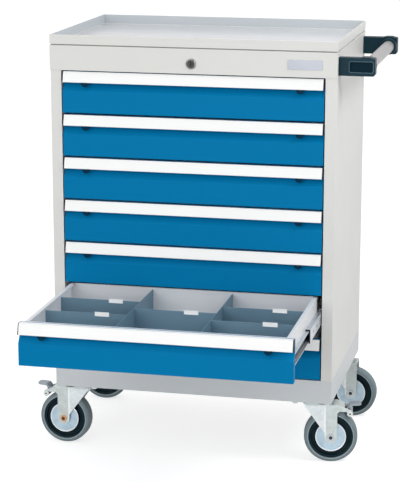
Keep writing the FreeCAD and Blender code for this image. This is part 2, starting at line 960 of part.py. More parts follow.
def wheel_core():
    """Wheel centre: bored hub, recessed web and the rim that carries the tyre."""
    half = wheel_width / 2 - core_setback
    rim = wheel_radius - tyre_thickness - shaft_gap
    core = rod_y(rim, trail, axle_z, -half, half)
    groove = rod_y(rim - core_rim, trail, axle_z, half - core_recess, half + past)
    groove = groove.cut(rod_y(hub_radius, trail, axle_z, half - core_recess, half + past))
    bore = rod_y(axle_radius + shaft_gap, trail, axle_z, -half - past, half + past)
    return core.cut([groove, groove.mirror(V(0, 0, 0), V(0, 1, 0)), bore])


def tyre():
    """Rubber ring with rounded shoulders, pressed on the wheel centre."""
    half = wheel_width / 2
    ring = rod_y(wheel_radius, trail, axle_z, -half, half)
    shoulders = []
    for edge in ring.Edges:
        if isinstance(edge.Curve, Part.Circle):
            shoulders.append(edge)
    ring = ring.makeFillet(tyre_shoulder, shoulders)
    return ring.cut(rod_y(wheel_radius - tyre_thickness, trail, axle_z, -half - past, half + past))


def brake_pedal():
    """Pedal on the pin between the fork's ears: a sleeve, an upright, and a wide tab over its knee."""
    x = pedal_pivot_reach
    z = pedal_pivot_z()
    top = z + pedal_height
    sleeve_radius = pedal_pivot_radius + pedal_sleeve_wall
    inner = fork_half_width - fork_sheet - touch_gap
    sleeve = rod_y(sleeve_radius, x, z, -inner, inner)
    section = [
        (x - pedal_thickness, z),
        (x - pedal_thickness, top - pedal_knee),
        (x - pedal_thickness + pedal_knee, top),
        (pedal_reach, top + pedal_rise),
        (pedal_reach, top + pedal_rise - pedal_thickness),
        (x + pedal_thickness, top - pedal_thickness),
        (x, top - pedal_knee - pedal_thickness / 2),
        (x, z),
    ]
    pedal = sleeve.fuse(prism_y(section, -pedal_half_width, pedal_half_width))
    bore = rod_y(pedal_pivot_radius + shaft_gap, x, z, -inner - past, inner + past)
    return pedal.cut(bore).removeSplitter()


def build_body():
    """Everything that stays still."""
    panel = side_panel()
    save("side_panel_right", [panel])
    save("side_panel_left", [mirror_x(panel)])
    save("rear_panel", [rear_panel()])
    save("floor_panel", [floor_panel()])
    save("top_hood", [top_hood()])
    save("tray_top", [tray_top()])
    save("base_frame", [base_frame()])
    save("cabinet_rails", cabinet_rails())
    save("name_plate", [name_plate()])
    save("lock_housing", [lock_housing()])
    first, last = bracket_spans()
    brackets = [handle_bracket(first[0], first[1], 1), handle_bracket(last[0], last[1], -1)]
    save("handle_brackets", brackets)
    save("handle_tube", [handle_tube()])
    plates = []
    for name, x, y, turn in caster_places():
        plates.append(place_caster(caster_plate(), x, y, 0))
    save("caster_plates", plates)
    save("caster_bolts", caster_bolts())


def build_lock():
    """The turning cylinder with its rod, and the bar that it shifts sideways."""
    save("lock_cylinder", lock_cylinder())
    save("lock_bar", [lock_bar()])


def build_drawers():
    """Tub, front, strip and intermediate rails of each drawer, and the inserts of the open one."""
    for number in range(1, drawer_count + 1):
        shift = -drawer_travel if number == open_drawer else 0.0
        name = "drawer_" + str(number)
        save(name + "_box", drawer_box(number, shift))
        save(name + "_front", [drawer_front(number, shift)])
        save(name + "_grip_strip", grip_strip(number, shift))
        save(name + "_mid_rails", mid_rails(number, shift))
    name = "drawer_" + str(open_drawer)
    save(name + "_dividers", drawer_dividers())
    save(name + "_label_holders", label_holders())


def build_casters():
    """Fork, wheel and tyre of each caster, and the pedals of the two at the front."""
    for name, x, y, turn in caster_places():
        braked = name.startswith("front")
        fork = [caster_fork(braked)] + axle_set()
        save("caster_" + name + "_fork", [place_caster(s, x, y, turn) for s in fork])
        save("caster_" + name + "_wheel", [place_caster(wheel_core(), x, y, turn)])
        save("caster_" + name + "_tyre", [place_caster(tyre(), x, y, turn)])
        if braked:
            save("brake_pedal_" + name, [place_caster(brake_pedal(), x, y, turn)])


os.makedirs("parts", exist_ok=True)
build_body()
build_lock()
build_drawers()
build_casters()
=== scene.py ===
"""Looks of a drawer cabinet on four casters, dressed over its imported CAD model.

Sizes are in metres. +X is to the right seen from the front, +Y to the back, +Z up, and the floor is
at zero. The sheet-metal pieces are softened copies of the CAD nodes; the turned, drawn and repeated
pieces are made with Geometry Nodes; the rest is made in mesh code.
"""

import logging
import math
from collections.abc import Callable, Iterable, Sequence
from dataclasses import dataclass, field
from enum import Enum

import bmesh
import bpy
from mathutils import Matrix, Vector


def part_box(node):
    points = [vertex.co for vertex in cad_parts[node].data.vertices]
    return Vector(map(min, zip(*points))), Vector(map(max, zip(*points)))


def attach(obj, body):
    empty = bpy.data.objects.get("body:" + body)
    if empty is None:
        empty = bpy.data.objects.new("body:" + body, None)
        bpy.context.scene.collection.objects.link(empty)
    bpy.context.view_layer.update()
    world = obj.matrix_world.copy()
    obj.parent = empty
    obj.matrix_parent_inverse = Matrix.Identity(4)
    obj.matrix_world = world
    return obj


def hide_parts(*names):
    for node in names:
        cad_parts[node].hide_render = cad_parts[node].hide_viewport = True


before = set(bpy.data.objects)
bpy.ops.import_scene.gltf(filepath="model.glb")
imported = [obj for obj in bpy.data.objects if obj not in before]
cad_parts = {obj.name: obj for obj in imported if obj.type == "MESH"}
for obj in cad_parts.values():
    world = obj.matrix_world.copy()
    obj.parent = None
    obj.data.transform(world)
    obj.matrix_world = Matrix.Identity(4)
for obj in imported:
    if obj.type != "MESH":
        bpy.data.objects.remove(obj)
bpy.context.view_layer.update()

LOG = logging.getLogger("cabinet")

Outline = list[tuple[float, float]]
Colour = tuple[int, int, int]
Ring = list[bmesh.types.BMVert]
Test = Callable[[Vector, Vector], bool]
Sockets = dict[str, bpy.types.NodeSocket]

# Kinds of sockets.
FLOAT = "NodeSocketFloat"
INTEGER = "NodeSocketInt"
VECTOR = "NodeSocketVector"
TONE = "NodeSocketColor"
SHAPE = "NodeSocketGeometry"

# What all finishes share: colours, patch sizes and depths of relief.
WHITE_LIGHT = (1.0, 1.0, 1.0, 1.0)
DUST_COLOUR = (168, 165, 158)
GLOSS_PATCH = 0.09
COAT_ROUGHNESS = 0.12
LINE_DEPTH = 0.00003
WELD_DEPTH = 0.0008
EDGE_PATCHES = 60.0
DUST_PATCHES = 35.0
FLAKE_WOBBLES = 90.0
FLAKE_WOBBLE = (0.004, 0.004, 0.004)
WELD_FLAT = 0.55
FLAKE_SHADES = (0.9, 1.04)

# Reaches and angles of the mesh work.
SPLIT_SLACK = 0.00002
MERGE_REACH = 0.00001
WELD_REACH = 0.000005
FLAT_BEND = math.radians(1.0)
ROUNDED_BEND = math.radians(30.0)
SHARP_BEND = math.radians(38.0)
RACE_DEPTH = 0.002
FACING_SIDE = 0.9
SHARP_WEIGHT = 90

# Points round a hexagon nut, and its chamfer as shares of its height and radius.
NUT_POINTS = 12
NUT_CHAMFER = 0.18
NUT_FACE = 0.92

# The drawers, and how far the tops of their strips fall to the back.
DRAWERS = 7
OPEN_DRAWER = 6
OPEN_STRIP_FALL = 0.0
SHUT_STRIP_FALL = 0.0035


def linear(colour: Colour) -> tuple[float, float, float, float]:
    """Turn a screen colour into the linear values that shaders use.

    Args:
        colour: Red, green and blue from 0 to 255.

    Returns:
        Linear red, green, blue and an alpha of 1.
    """
    values = []
    for channel in colour:
        share = channel / 255
        values.append(share / 12.92 if share <= 0.04045 else ((share + 0.055) / 1.055) ** 2.4)
    return values[0], values[1], values[2], 1.0


class TreeMaker:
    """Adds nodes to one node tree and wires them."""

    def __init__(self, tree: bpy.types.NodeTree) -> None:
        """Keep the tree that the nodes go into."""
        self.tree = tree

    def put(self, kind: str, inputs: dict | None = None, **settings: object) -> bpy.types.Node:
        """Add one node.

        Args:
            kind: Blender's type name of the node.
            inputs: Values or output sockets for its inputs, by name or place.
            **settings: Properties of the node.

        Returns:
            The new node.
        """
        node = self.tree.nodes.new(kind)
        for name, value in settings.items():
            setattr(node, name, value)
        for key, value in (inputs or {}).items():
            if isinstance(value, bpy.types.NodeSocket):
                self.tree.links.new(value, node.inputs[key])
            else:
                node.inputs[key].default_value = value
        return node

    def sum(self, operation: str, *values: object, clamp: bool = False) -> bpy.types.NodeSocket:
        """Add a math node and return its result.

        Args:
            operation: The math node's operation.
            *values: Its inputs, numbers or sockets.
            clamp: Keep the result between 0 and 1.

        Returns:
            The output socket.
        """
        family = "ShaderNodeMath"
        node = self.put(family, dict(enumerate(values)), operation=operation, use_clamp=clamp)
        return node.outputs[0]

    def vector(self, operation: str, inputs: dict) -> bpy.types.NodeSocket:
        """Add a vector math node and return its result.

        Args:
            operation: The node's operation.
            inputs: Its inputs by name or place.

        Returns:
            The output socket that the operation uses.
        """
        node = self.put("ShaderNodeVectorMath", inputs, operation=operation)
        return node.outputs["Value" if operation in ("DOT_PRODUCT", "LENGTH") else "Vector"]

    def noise(self, place: bpy.types.NodeSocket, scale: object, detail: float = 2.0) -> bpy.types.Node:
        """Add a noise texture.

        Args:
            place: Where it is read.
            scale: Its scale, a number or a socket.
            detail: Number of finer layers.

        Returns:
            The texture node.
        """
        return self.put("ShaderNodeTexNoise", {"Vector": place, "Scale": scale, "Detail": detail})

    def ranged(
        self, value: bpy.types.NodeSocket, limits: Sequence[object], **settings: object
    ) -> bpy.types.NodeSocket:
        """Map a value from one range to another.

        Args:
            value: The value.
            limits: Start and end of the range it comes from and of the one it goes to.
            **settings: Properties of the node.

        Returns:
            The mapped value.
        """
        names = ("From Min", "From Max", "To Min", "To Max")
        return self.put("ShaderNodeMapRange", {"Value": value, **dict(zip(names, limits))}, **settings).outputs[0]

    def mix(self, mask: bpy.types.NodeSocket, under: bpy.types.NodeSocket, over: Colour) -> bpy.types.NodeSocket:
        """Lay one colour over another by a mask.

        Args:
            mask: Share of the upper colour.
            under: The colour below.
            over: The colour above.

        Returns:
            The mixed colour.
        """
        return self.put("ShaderNodeMix", {0: mask, 6: under, 7: linear(over)}, data_type="RGBA").outputs[2]

    def bump(self, depth: float, height: bpy.types.NodeSocket, inputs: dict) -> bpy.types.NodeSocket:
        """Add a bump node.

        Args:
            depth: Height of the relief.
            height: Its pattern.
            inputs: The normal below it, if there is one.

        Returns:
            The new normal.
        """
        return self.put("ShaderNodeBump", {"Distance": depth, "Height": height, **inputs}).outputs[0]

    def seen_plain(self) -> bpy.types.NodeSocket:
        """Tell the rays that see the studio plain from those that light the cabinet.

        Returns:
            1 for rays from the camera, off a gloss or through glass, and 0 for the rest.
        """
        rays = self.put("ShaderNodeLightPath").outputs
        clear = self.sum("MAXIMUM", rays["Is Glossy Ray"], rays["Is Transmission Ray"])
        return self.sum("MAXIMUM", rays["Is Camera Ray"], clear)


@dataclass(frozen=True)
class Socket:
    """One named input or output of a node group."""

    name: str
    kind: str
    default: object = None

    def add(self, tree: bpy.types.NodeTree, way: str) -> None:
        """Add the socket to a tree's interface, with its default.

        Args:
            tree: The tree.
            way: INPUT or OUTPUT.
        """
        made = tree.interface.new_socket(self.name, in_out=way, socket_type=self.kind)
        if self.default is not None:
            made.default_value = self.default


@dataclass(frozen=True)
class Effect:
    """A shader group that finishes share, built the first time it is placed.

    Attributes:
        name: Name of the group.
        inputs: Its inputs beside Vector, the place on the piece.
        output: Its one output.
        wire: Adds its nodes and returns the result.
    """

    name: str
    inputs: tuple[Socket, ...]
    output: Socket
    wire: Callable[[TreeMaker, Sockets], bpy.types.NodeSocket]

    def tree(self) -> bpy.types.NodeTree:
        """Fetch the group, or build it if it is not built.

        Returns:
            The group's tree.
        """
        if self.name in bpy.data.node_groups:
            return bpy.data.node_groups[self.name]
        tree = bpy.data.node_groups.new(self.name, "ShaderNodeTree")
        given = [Socket("Vector", VECTOR), *self.inputs]
        for socket in given:
            socket.add(tree, "INPUT")
        self.output.add(tree, "OUTPUT")
        maker = TreeMaker(tree)
        start = maker.put("NodeGroupInput").outputs
        result = self.wire(maker, {socket.name: start[socket.name] for socket in given})
        maker.put("NodeGroupOutput", {self.output.name: result})
        return tree

    def place(self, maker: TreeMaker, where: bpy.types.NodeSocket, **values: object) -> bpy.types.NodeSocket:
        """Place the group in a material.

        Args:
            maker: Maker of the material's tree.
            where: Object coordinates.
            **values: The group's inputs by name.

        Returns:
            The group's output.
        """
        return maker.put("ShaderNodeGroup", {"Vector": where, **values}, node_tree=self.tree()).outputs[0]


def wire_grain(maker: TreeMaker, given: Sockets) -> bpy.types.NodeSocket:
    """Fine unevenness of a sprayed or moulded skin: Vector, Size -> Height."""
    return maker.noise(given["Vector"], maker.sum("DIVIDE", 1.0, given["Size"])).outputs[0]


def wire_drift(maker: TreeMaker, given: Sockets) -> bpy.types.NodeSocket:
    """Slow change of tone over a surface: Vector, Size, Amount, Color -> Color.

    Args:
        maker: Maker of the group's tree.
        given: The group's inputs by name.

    Returns:
        The colour.
    """
    noise = maker.noise(given["Vector"], maker.sum("DIVIDE", 1.0, given["Size"]), 3.0)
    swing = maker.sum("MULTIPLY", maker.sum("SUBTRACT", noise.outputs[0], 0.5), given["Amount"])
    factor = maker.sum("ADD", 1.0, maker.sum("MULTIPLY", swing, 2.0))
    return maker.vector("SCALE", {0: given["Color"], "Scale": factor})


def wire_gloss(maker: TreeMaker, given: Sockets) -> bpy.types.NodeSocket:
    """Patches of more and less gloss, as handling leaves: Vector, Size, Low, High -> Roughness.

    Args:
        maker: Maker of the group's tree.
        given: The group's inputs by name.

    Returns:
        The roughness.
    """
    noise = maker.noise(given["Vector"], maker.sum("DIVIDE", 1.0, given["Size"]), 4.0)
    return maker.ranged(noise.outputs[0], (0.3, 0.7, given["Low"], given["High"]))


def wire_edges(maker: TreeMaker, given: Sockets) -> bpy.types.NodeSocket:
    """Painted highlight where a surface bends sharply, broken up by noise: Vector, Radius, Gain -> Mask.

    Args:
        maker: Maker of the group's tree.
        given: The group's inputs by name.

    Returns:
        The mask.
    """
    soft = maker.put("ShaderNodeBevel", {"Radius": given["Radius"]}, samples=4)
    plain = maker.put("ShaderNodeNewGeometry")
    even = maker.vector("DOT_PRODUCT", {0: soft.outputs[0], 1: plain.outputs["Normal"]})
    bend = maker.sum("MULTIPLY", maker.sum("SUBTRACT", 1.0, even), given["Gain"], clamp=True)
    noise = maker.noise(given["Vector"], EDGE_PATCHES, 3.0)
    return maker.sum("MULTIPLY", bend, maker.sum("ADD", noise.outputs[0], 0.3, clamp=True))


def wire_dust(maker: TreeMaker, given: Sockets) -> bpy.types.NodeSocket:
    """Thin patchy dust that thickens towards the floor: Vector, Top, Amount -> Mask.

    Args:
        maker: Maker of the group's tree.
        given: The group's inputs by name.

    Returns:
        The mask.
    """
    place = maker.put("ShaderNodeSeparateXYZ", {0: given["Vector"]})
    low = maker.ranged(place.outputs["Z"], (given["Top"], 0.0, 0.0, 1.0))
    patch = maker.ranged(maker.noise(given["Vector"], DUST_PATCHES, 5.0).outputs[0], (0.4, 0.75))
    return maker.sum("MULTIPLY", maker.sum("MULTIPLY", low, patch), given["Amount"])


def wire_brushing(maker: TreeMaker, given: Sockets) -> bpy.types.NodeSocket:
    """Fine parallel lines: Vector, Stretch -> Height."""
    pulled = maker.vector("MULTIPLY", {0: given["Vector"], 1: given["Stretch"]})
    return maker.noise(pulled, 1.0, 3.0).outputs[0]


def wire_flakes(maker: TreeMaker, given: Sockets) -> bpy.types.NodeSocket:
    """Crystal patches of a zinc coat: Vector, Size -> Value.

    Args:
        maker: Maker of the group's tree.
        given: The group's inputs by name.

    Returns:
        The brightness of the patch.
    """
    scale = maker.sum("DIVIDE", 1.0, given["Size"])
    wobble = maker.noise(given["Vector"], FLAKE_WOBBLES).outputs["Color"]
    bent = maker.vector("MULTIPLY_ADD", {0: wobble, 1: FLAKE_WOBBLE, 2: given["Vector"]})
    cells = maker.put("ShaderNodeTexVoronoi", {"Vector": bent, "Scale": scale})
    return maker.put("ShaderNodeSeparateColor", {0: cells.outputs["Color"]}).outputs[0]


def wire_welds(maker: TreeMaker, given: Sockets) -> bpy.types.NodeSocket:
    """Row of shallow spot-weld marks up a flange: Vector, Line, Pitch, Radius, Behind -> Height.

    Args:
        maker: Maker of the group's tree.
        given: The group's inputs by name.

    Returns:
        The height.
    """
    place = maker.put("ShaderNodeSeparateXYZ", {0: given["Vector"]})
    across = maker.sum("SUBTRACT", maker.sum("ABSOLUTE", place.outputs["X"]), given["Line"])
    step = maker.sum("FLOORED_MODULO", place.outputs["Z"], given["Pitch"])
    along = maker.sum("SUBTRACT", step, maker.sum("MULTIPLY", given["Pitch"], 0.5))
    flat = maker.put("ShaderNodeCombineXYZ", {0: across, 1: along})
    length = maker.vector("LENGTH", {0: flat.outputs[0]})
    inner = maker.sum("MULTIPLY", given["Radius"], WELD_FLAT)
    dent = maker.ranged(length, (inner, given["Radius"]), interpolation_type="SMOOTHSTEP")
    front = maker.sum("LESS_THAN", place.outputs["Y"], given["Behind"])
    return maker.sum("MAXIMUM", dent, front)


GRAIN = Effect("skin_grain", (Socket("Size", FLOAT, 0.002),), Socket("Height", FLOAT), wire_grain)
DRIFT = Effect(
    "tone_drift",
    (Socket("Size", FLOAT, 0.2), Socket("Amount", FLOAT, 0.05), Socket("Color", TONE, (0.8, 0.8, 0.8, 1.0))),
    Socket("Color", TONE),
    wire_drift,
)
GLOSS = Effect(
    "gloss_drift",
    (Socket("Size", FLOAT, 0.08), Socket("Low", FLOAT, 0.35), Socket("High", FLOAT, 0.5)),
    Socket("Roughness", FLOAT),
    wire_gloss,
)
# Painted highlight along sharp bends, in each finish's edge colour.
EDGES = Effect(
    "bright_edges", (Socket("Radius", FLOAT, 0.001), Socket("Gain", FLOAT, 4.0)), Socket("Mask", FLOAT), wire_edges
)
DUST = Effect("low_dust", (Socket("Top", FLOAT, 0.2), Socket("Amount", FLOAT, 0.3)), Socket("Mask", FLOAT), wire_dust)
BRUSHING = Effect(
    "brushed_lines", (Socket("Stretch", VECTOR, (20.0, 1500.0, 1500.0)),), Socket("Height", FLOAT), wire_brushing
)
FLAKES = Effect("zinc_flakes", (Socket("Size", FLOAT, 0.006),), Socket("Value", FLOAT), wire_flakes)
WELDS = Effect(
    "spot_welds",
    (
        Socket("Line", FLOAT, 0.318), Socket("Pitch", FLOAT, 0.09), Socket("Radius", FLOAT, 0.004),
        Socket("Behind", FLOAT, 0.2),
    ),
    Socket("Height", FLOAT),
    wire_welds,
)


class Pattern(Enum):
    """What lies under a finish's grain."""

    PLAIN = "plain"
    WELDED = "welded"
    BRUSHED = "brushed"
    FLAKED = "flaked"


@dataclass(frozen=True)
class Finish:
    """A paint, plating, plastic or rubber, with the unevenness of the real one.

    Attributes:
        name: Name of the material.
        colour: Its colour on the screen.
        edge: Colour of the painted highlight on its bent edges.
        edge_gain: How strongly the edges show; 0 leaves them out.
        edge_radius: Width of the edge line.
        drift: Share by which its tone wanders.
        drift_size: Size of the patches of tone.
        low: Roughness where it is smoothest.
        high: Roughness where it is dullest.
        grain: Size of its fine grain.
        depth: Height of the grain.
        metallic: 1 for a bare metal.
        coat: Clear gloss on top.
        sheen: Strength of its plain reflection; 0.5 is that of common paint.
        dust: Share of dust near the floor.
        pattern: What lies under the grain.
        flake: Size of the zinc flakes.
        stretch: Lines per metre along each axis of a brushed finish.
    """

    name: str
    colour: Colour
    edge: Colour = (245, 245, 245)
    edge_gain: float = 0.0
    edge_radius: float = 0.0012
    drift: float = 0.02
    drift_size: float = 0.25
    low: float = 0.4
    high: float = 0.5
    grain: float = 0.0012
    depth: float = 0.00002
    metallic: float = 0.0
    coat: float = 0.0
    sheen: float = 0.5
    dust: float = 0.0
    pattern: Pattern = Pattern.PLAIN
    flake: float = 0.006
    stretch: tuple[float, float, float] = (20.0, 1500.0, 1500.0)

    def material(self) -> bpy.types.Material:
        """Build the finish, or fetch it if it is built.

        Returns:
            The material.
        """
        if self.name in bpy.data.materials:
            return bpy.data.materials[self.name]
        made = bpy.data.materials.new(self.name)
        made.use_nodes = True
        made.node_tree.nodes.clear()
        maker = TreeMaker(made.node_tree)
        place = maker.put("ShaderNodeTexCoord").outputs["Object"]
        gloss = GLOSS.place(maker, place, Size=GLOSS_PATCH, Low=self.low, High=self.high)
        changing = {"Base Color": self._tone(maker, place), "Roughness": gloss, "Normal": self._relief(maker, place)}
        even = {"Metallic": self.metallic, "Coat Weight": self.coat, "Specular IOR Level": self.sheen}
        surface = maker.put("ShaderNodeBsdfPrincipled", {**changing, **even, "Coat Roughness": COAT_ROUGHNESS})
        maker.put("ShaderNodeOutputMaterial", {"Surface": surface.outputs[0]})
        return made

    def _tone(self, maker: TreeMaker, place: bpy.types.NodeSocket) -> bpy.types.NodeSocket:
        """Colour with its drift, flakes, painted edge highlights and dust.

        Args:
            maker: Maker of the material's tree.
            place: Object coordinates.

        Returns:
            The colour's socket.
        """
        tone = DRIFT.place(maker, place, Size=self.drift_size, Amount=self.drift, Color=linear(self.colour))
        if self.pattern is Pattern.FLAKED:
            shade = maker.ranged(FLAKES.place(maker, place, Size=self.flake), (0.0, 1.0, *FLAKE_SHADES))
            tone = maker.vector("SCALE", {0: tone, "Scale": shade})
        # Painted edge highlight mixed into the colour.
        if self.edge_gain > 0:
            mask = EDGES.place(maker, place, Radius=self.edge_radius, Gain=self.edge_gain)
            tone = maker.mix(mask, tone, self.edge)
        if self.dust > 0:
            tone = maker.mix(DUST.place(maker, place, Amount=self.dust), tone, DUST_COLOUR)
        return tone

    def _relief(self, maker: TreeMaker, place: bpy.types.NodeSocket) -> bpy.types.NodeSocket:
        """Bump of the grain and of what lies under it.

        Args:
            maker: Maker of the material's tree.
            place: Object coordinates.

        Returns:
            The normal's socket.
        """
        normal = maker.bump(self.depth, GRAIN.place(maker, place, Size=self.grain), {})
        if self.pattern is Pattern.BRUSHED:
            lines = BRUSHING.place(maker, place, Stretch=self.stretch)
            normal = maker.bump(LINE_DEPTH, lines, {"Normal": normal})
        if self.pattern is Pattern.WELDED:
            normal = maker.bump(WELD_DEPTH, WELDS.place(maker, place), {"Normal": normal})
        return normal


BODY = Finish("powder_coat_light", (222, 222, 219), edge=(240, 240, 238), edge_gain=2.0, pattern=Pattern.WELDED)
HOOD = Finish("powder_coat_hood", (221, 221, 218), edge=(242, 242, 240), edge_gain=2.0)
# Painted shade in the tray's seam recess.
SEAM_SHADE = Finish("tray_seam_shade", (140, 140, 136), low=0.5, high=0.6)
TRAY = Finish("tray_enamel", (209, 212, 217), low=0.2, high=0.24, drift=0.03, drift_size=0.4, coat=0.15)
# Painted shade on the rim's inner faces, darker than the tray.
TRAY_RIM_SHADE = Finish("tray_rim_enamel", (198, 204, 208), low=0.3, high=0.36)
PLINTH = Finish("powder_coat_plinth", (207, 212, 215), edge=(228, 230, 232), edge_gain=1.6, dust=0.1)
BLUE = Finish(
    "drawer_front_blue", (0, 121, 175), edge=(60, 156, 205), edge_gain=1.2, drift=0.03, sheen=0.04
)
WHITE = Finish("grip_strip_white", (244, 245, 244), low=0.3, high=0.34, drift=0.006, grain=0.004, depth=0.000005)
CAP = Finish("strip_cap_dark", (16, 18, 24), low=0.4, high=0.55, grain=0.0007, sheen=0.2)
CLIP = Finish("strip_clip_navy", (0, 46, 72), low=0.35, high=0.5, grain=0.0008, sheen=0.05)
TUB = Finish("drawer_tub_enamel", (226, 228, 231), edge=(246, 247, 248), edge_gain=2.0, low=0.3, high=0.4)
SLIDE = Finish(
    "slide_galvanised", (206, 214, 222), edge=(235, 240, 244), edge_gain=2.5, low=0.25, high=0.38, metallic=0.7,
    pattern=Pattern.FLAKED, flake=0.004, drift=0.05,
)
# Dark painted shade for the set-back inner faces of the rails.
RACE_SHADE = Finish(
    "slide_race_oiled", (22, 32, 44), edge=(150, 168, 186), edge_gain=2.0, edge_radius=0.0008, low=0.35, high=0.5,
    metallic=0.2, drift=0.1, drift_size=0.03, sheen=0.25,
)
BUMPER = Finish("slide_bumper", (18, 20, 24), low=0.45, high=0.6, grain=0.0008, sheen=0.2)
DIVIDER = Finish(
    "divider_sheet", (108, 138, 156), edge=(205, 212, 218), edge_gain=2.0, edge_radius=0.0009, low=0.35, high=0.5,
    metallic=0.25, drift=0.06, drift_size=0.12, sheen=0.3,
)
LABEL_CARD = Finish("label_card", (254, 254, 254), low=0.6, high=0.75, drift=0.005, grain=0.0005)
LABEL_RIM = Finish("label_rim", (232, 237, 241), low=0.15, high=0.25, coat=0.5)
CHROME = Finish("lock_nickel", (118, 120, 118), low=0.14, high=0.24, metallic=0.9, depth=0.000006, sheen=0.3)
LOCK_DARK = Finish("lock_plug_dark", (62, 64, 60), low=0.3, high=0.45, metallic=0.5, sheen=0.3)
ROD = Finish(
    "bright_zinc_steel", (190, 195, 200), low=0.25, high=0.4, metallic=1.0, pattern=Pattern.FLAKED, flake=0.002
)
PLATE = Finish(
    "plate_brushed_silver", (150, 154, 162), edge=(226, 229, 234), edge_gain=2.0, low=0.3, high=0.38, metallic=0.6,
    pattern=Pattern.BRUSHED,
)
BRACKET = Finish(
    "bracket_dark_plastic", (6, 44, 56), edge=(74, 104, 118), edge_gain=1.6, edge_radius=0.0018, low=0.38,
    high=0.5, grain=0.0009, depth=0.00004, sheen=0.16,
)
# Painted highlight on the bead round the bracket's recess.
BRACKET_BEAD_HIGHLIGHT = Finish("bracket_worn_line", (84, 114, 128), low=0.3, high=0.4, grain=0.0009, sheen=0.3)
# Painted shade in the bracket's recess.
BRACKET_HOLLOW_SHADE = Finish("bracket_hollow", (0, 34, 46), low=0.45, high=0.6, grain=0.0009, sheen=0.08)
TUBE = Finish(
    "handle_tube_grey", (158, 156, 157), low=0.3, high=0.38, pattern=Pattern.BRUSHED, stretch=(900.0, 12.0, 900.0),
    metallic=0.3,
)
FORK = Finish(
    "fork_bright_zinc", (196, 205, 204), edge=(240, 244, 246), edge_gain=2.4, low=0.3, high=0.45, metallic=0.6,
    pattern=Pattern.FLAKED, flake=0.007, drift=0.05, drift_size=0.05, dust=0.1,
)
PEDAL = Finish(
    "pedal_zinc_grey", (146, 155, 166), edge=(222, 228, 234), edge_gain=2.0, low=0.25, high=0.4, metallic=0.6,
    pattern=Pattern.FLAKED, flake=0.004, drift=0.12, drift_size=0.02,
)
# Painted highlight for the band along the fork's bend and the pin's rolled ends.
FORK_HIGHLIGHT = Finish(
    "fork_polished_bend", (246, 249, 250), low=0.2, high=0.3, metallic=0.35, drift=0.05, drift_size=0.03
)
# The fork's zinc painted lighter, as if lit, for its leading facet.
FORK_FACET_LIT = Finish(
    "fork_leading_facet", (216, 223, 226), edge=(244, 247, 248), edge_gain=2.4, low=0.28, high=0.4, metallic=0.6,
    pattern=Pattern.FLAKED, flake=0.007, drift=0.05, drift_size=0.05, dust=0.1,
)
GUARD = Finish(
    "guard_zinc_blue", (182, 204, 218), edge=(240, 245, 249), edge_gain=2.0, edge_radius=0.0005, low=0.28, high=0.42,
    metallic=0.5, pattern=Pattern.FLAKED, flake=0.012, drift=0.16, drift_size=0.03,
)
# Painted highlight on the thread guard's rolled rim.
GUARD_RIM_HIGHLIGHT = Finish("guard_bright_rim", (244, 248, 251), low=0.2, high=0.3, metallic=0.4)
BRASS = Finish("axle_nut_yellow_zinc", (222, 160, 108), low=0.25, high=0.4, metallic=0.6, drift=0.1, drift_size=0.01)
# Dark painted shade under the pedal, in the pin's hollow and on the axle.
DARK_SHADE = Finish("pin_hollow_dark", (58, 66, 68), low=0.4, high=0.55, metallic=0.3, sheen=0.3)
CORE = Finish(
    "wheel_centre_black", (4, 32, 40), edge=(48, 74, 84), edge_gain=1.0, low=0.45, high=0.6, grain=0.0008,
    depth=0.00004, dust=0.04, sheen=0.12,
)
TYRE = Finish(
    "tyre_rubber_grey", (122, 138, 144), edge=(150, 164, 170), edge_gain=1.0, low=0.55, high=0.75, grain=0.0006,
    depth=0.00006, dust=0.15, drift=0.04, drift_size=0.03, sheen=0.3,
)
TYRE_LINE = Finish("tyre_mould_line", (172, 186, 194), low=0.5, high=0.6, grain=0.0006, sheen=0.3)


def fetch_node_mesh(node: str, split: tuple[float, int] | None = None) -> bmesh.types.BMesh:
    """Copy a CAD node's mesh, with its loose triangles merged and its flat faces made whole.

    Args:
        node: Name of the CAD node.
        split: A place on Y where two of its solids touch, and the side to keep, -1 or 1.

    Returns:
        The copy, for the caller to free.
    """
    work = bmesh.new()
    work.from_mesh(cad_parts[node].data)
    if split is not None:
        place, side = split
        drop = []
        for face in work.faces:
            depths = [(corner.co.y - place) * side for corner in face.verts]
            across = all(abs(depth) < SPLIT_SLACK for depth in depths) and face.normal.y * side > 0.5
            if min(depths) < -SPLIT_SLACK or across:
                drop.append(face)
        bmesh.ops.delete(work, geom=drop, context="FACES")
    bmesh.ops.remove_doubles(work, verts=work.verts, dist=MERGE_REACH)
    bmesh.ops.dissolve_limit(work, angle_limit=FLAT_BEND, verts=work.verts, edges=work.edges)
    return work


def loose_parts(work: bmesh.types.BMesh) -> list[Ring]:
    """Find the separate solids of a mesh.

    Args:
        work: The mesh.

    Returns:
        The corner points of each solid, in the order of the mesh's points.
    """
    seen = set()
    parts = []
    for first in work.verts:
        if first in seen:
            continue
        seen.add(first)
        part, waiting = [], [first]
        while waiting:
            corner = waiting.pop()
            part.append(corner)
            for edge in corner.link_edges:
                other = edge.other_vert(corner)
                if other not in seen:
                    seen.add(other)
                    waiting.append(other)
        parts.append(part)
    return parts


def span(part: Ring) -> tuple[Vector, Vector]:
    """Lowest and highest corner of the box round some points."""
    low = Vector([min(corner.co[axis] for corner in part) for axis in range(3)])
    return low, Vector([max(corner.co[axis] for corner in part) for axis in range(3)])


def keep_parts(work: bmesh.types.BMesh, wanted: Test) -> None:
    """Delete the solids that a test of their lowest and highest corners turns down.

    Args:
        work: The mesh.
        wanted: The test.
    """
    drop = [corner for part in loose_parts(work) if not wanted(*span(part)) for corner in part]
    bmesh.ops.delete(work, geom=drop, context="VERTS")


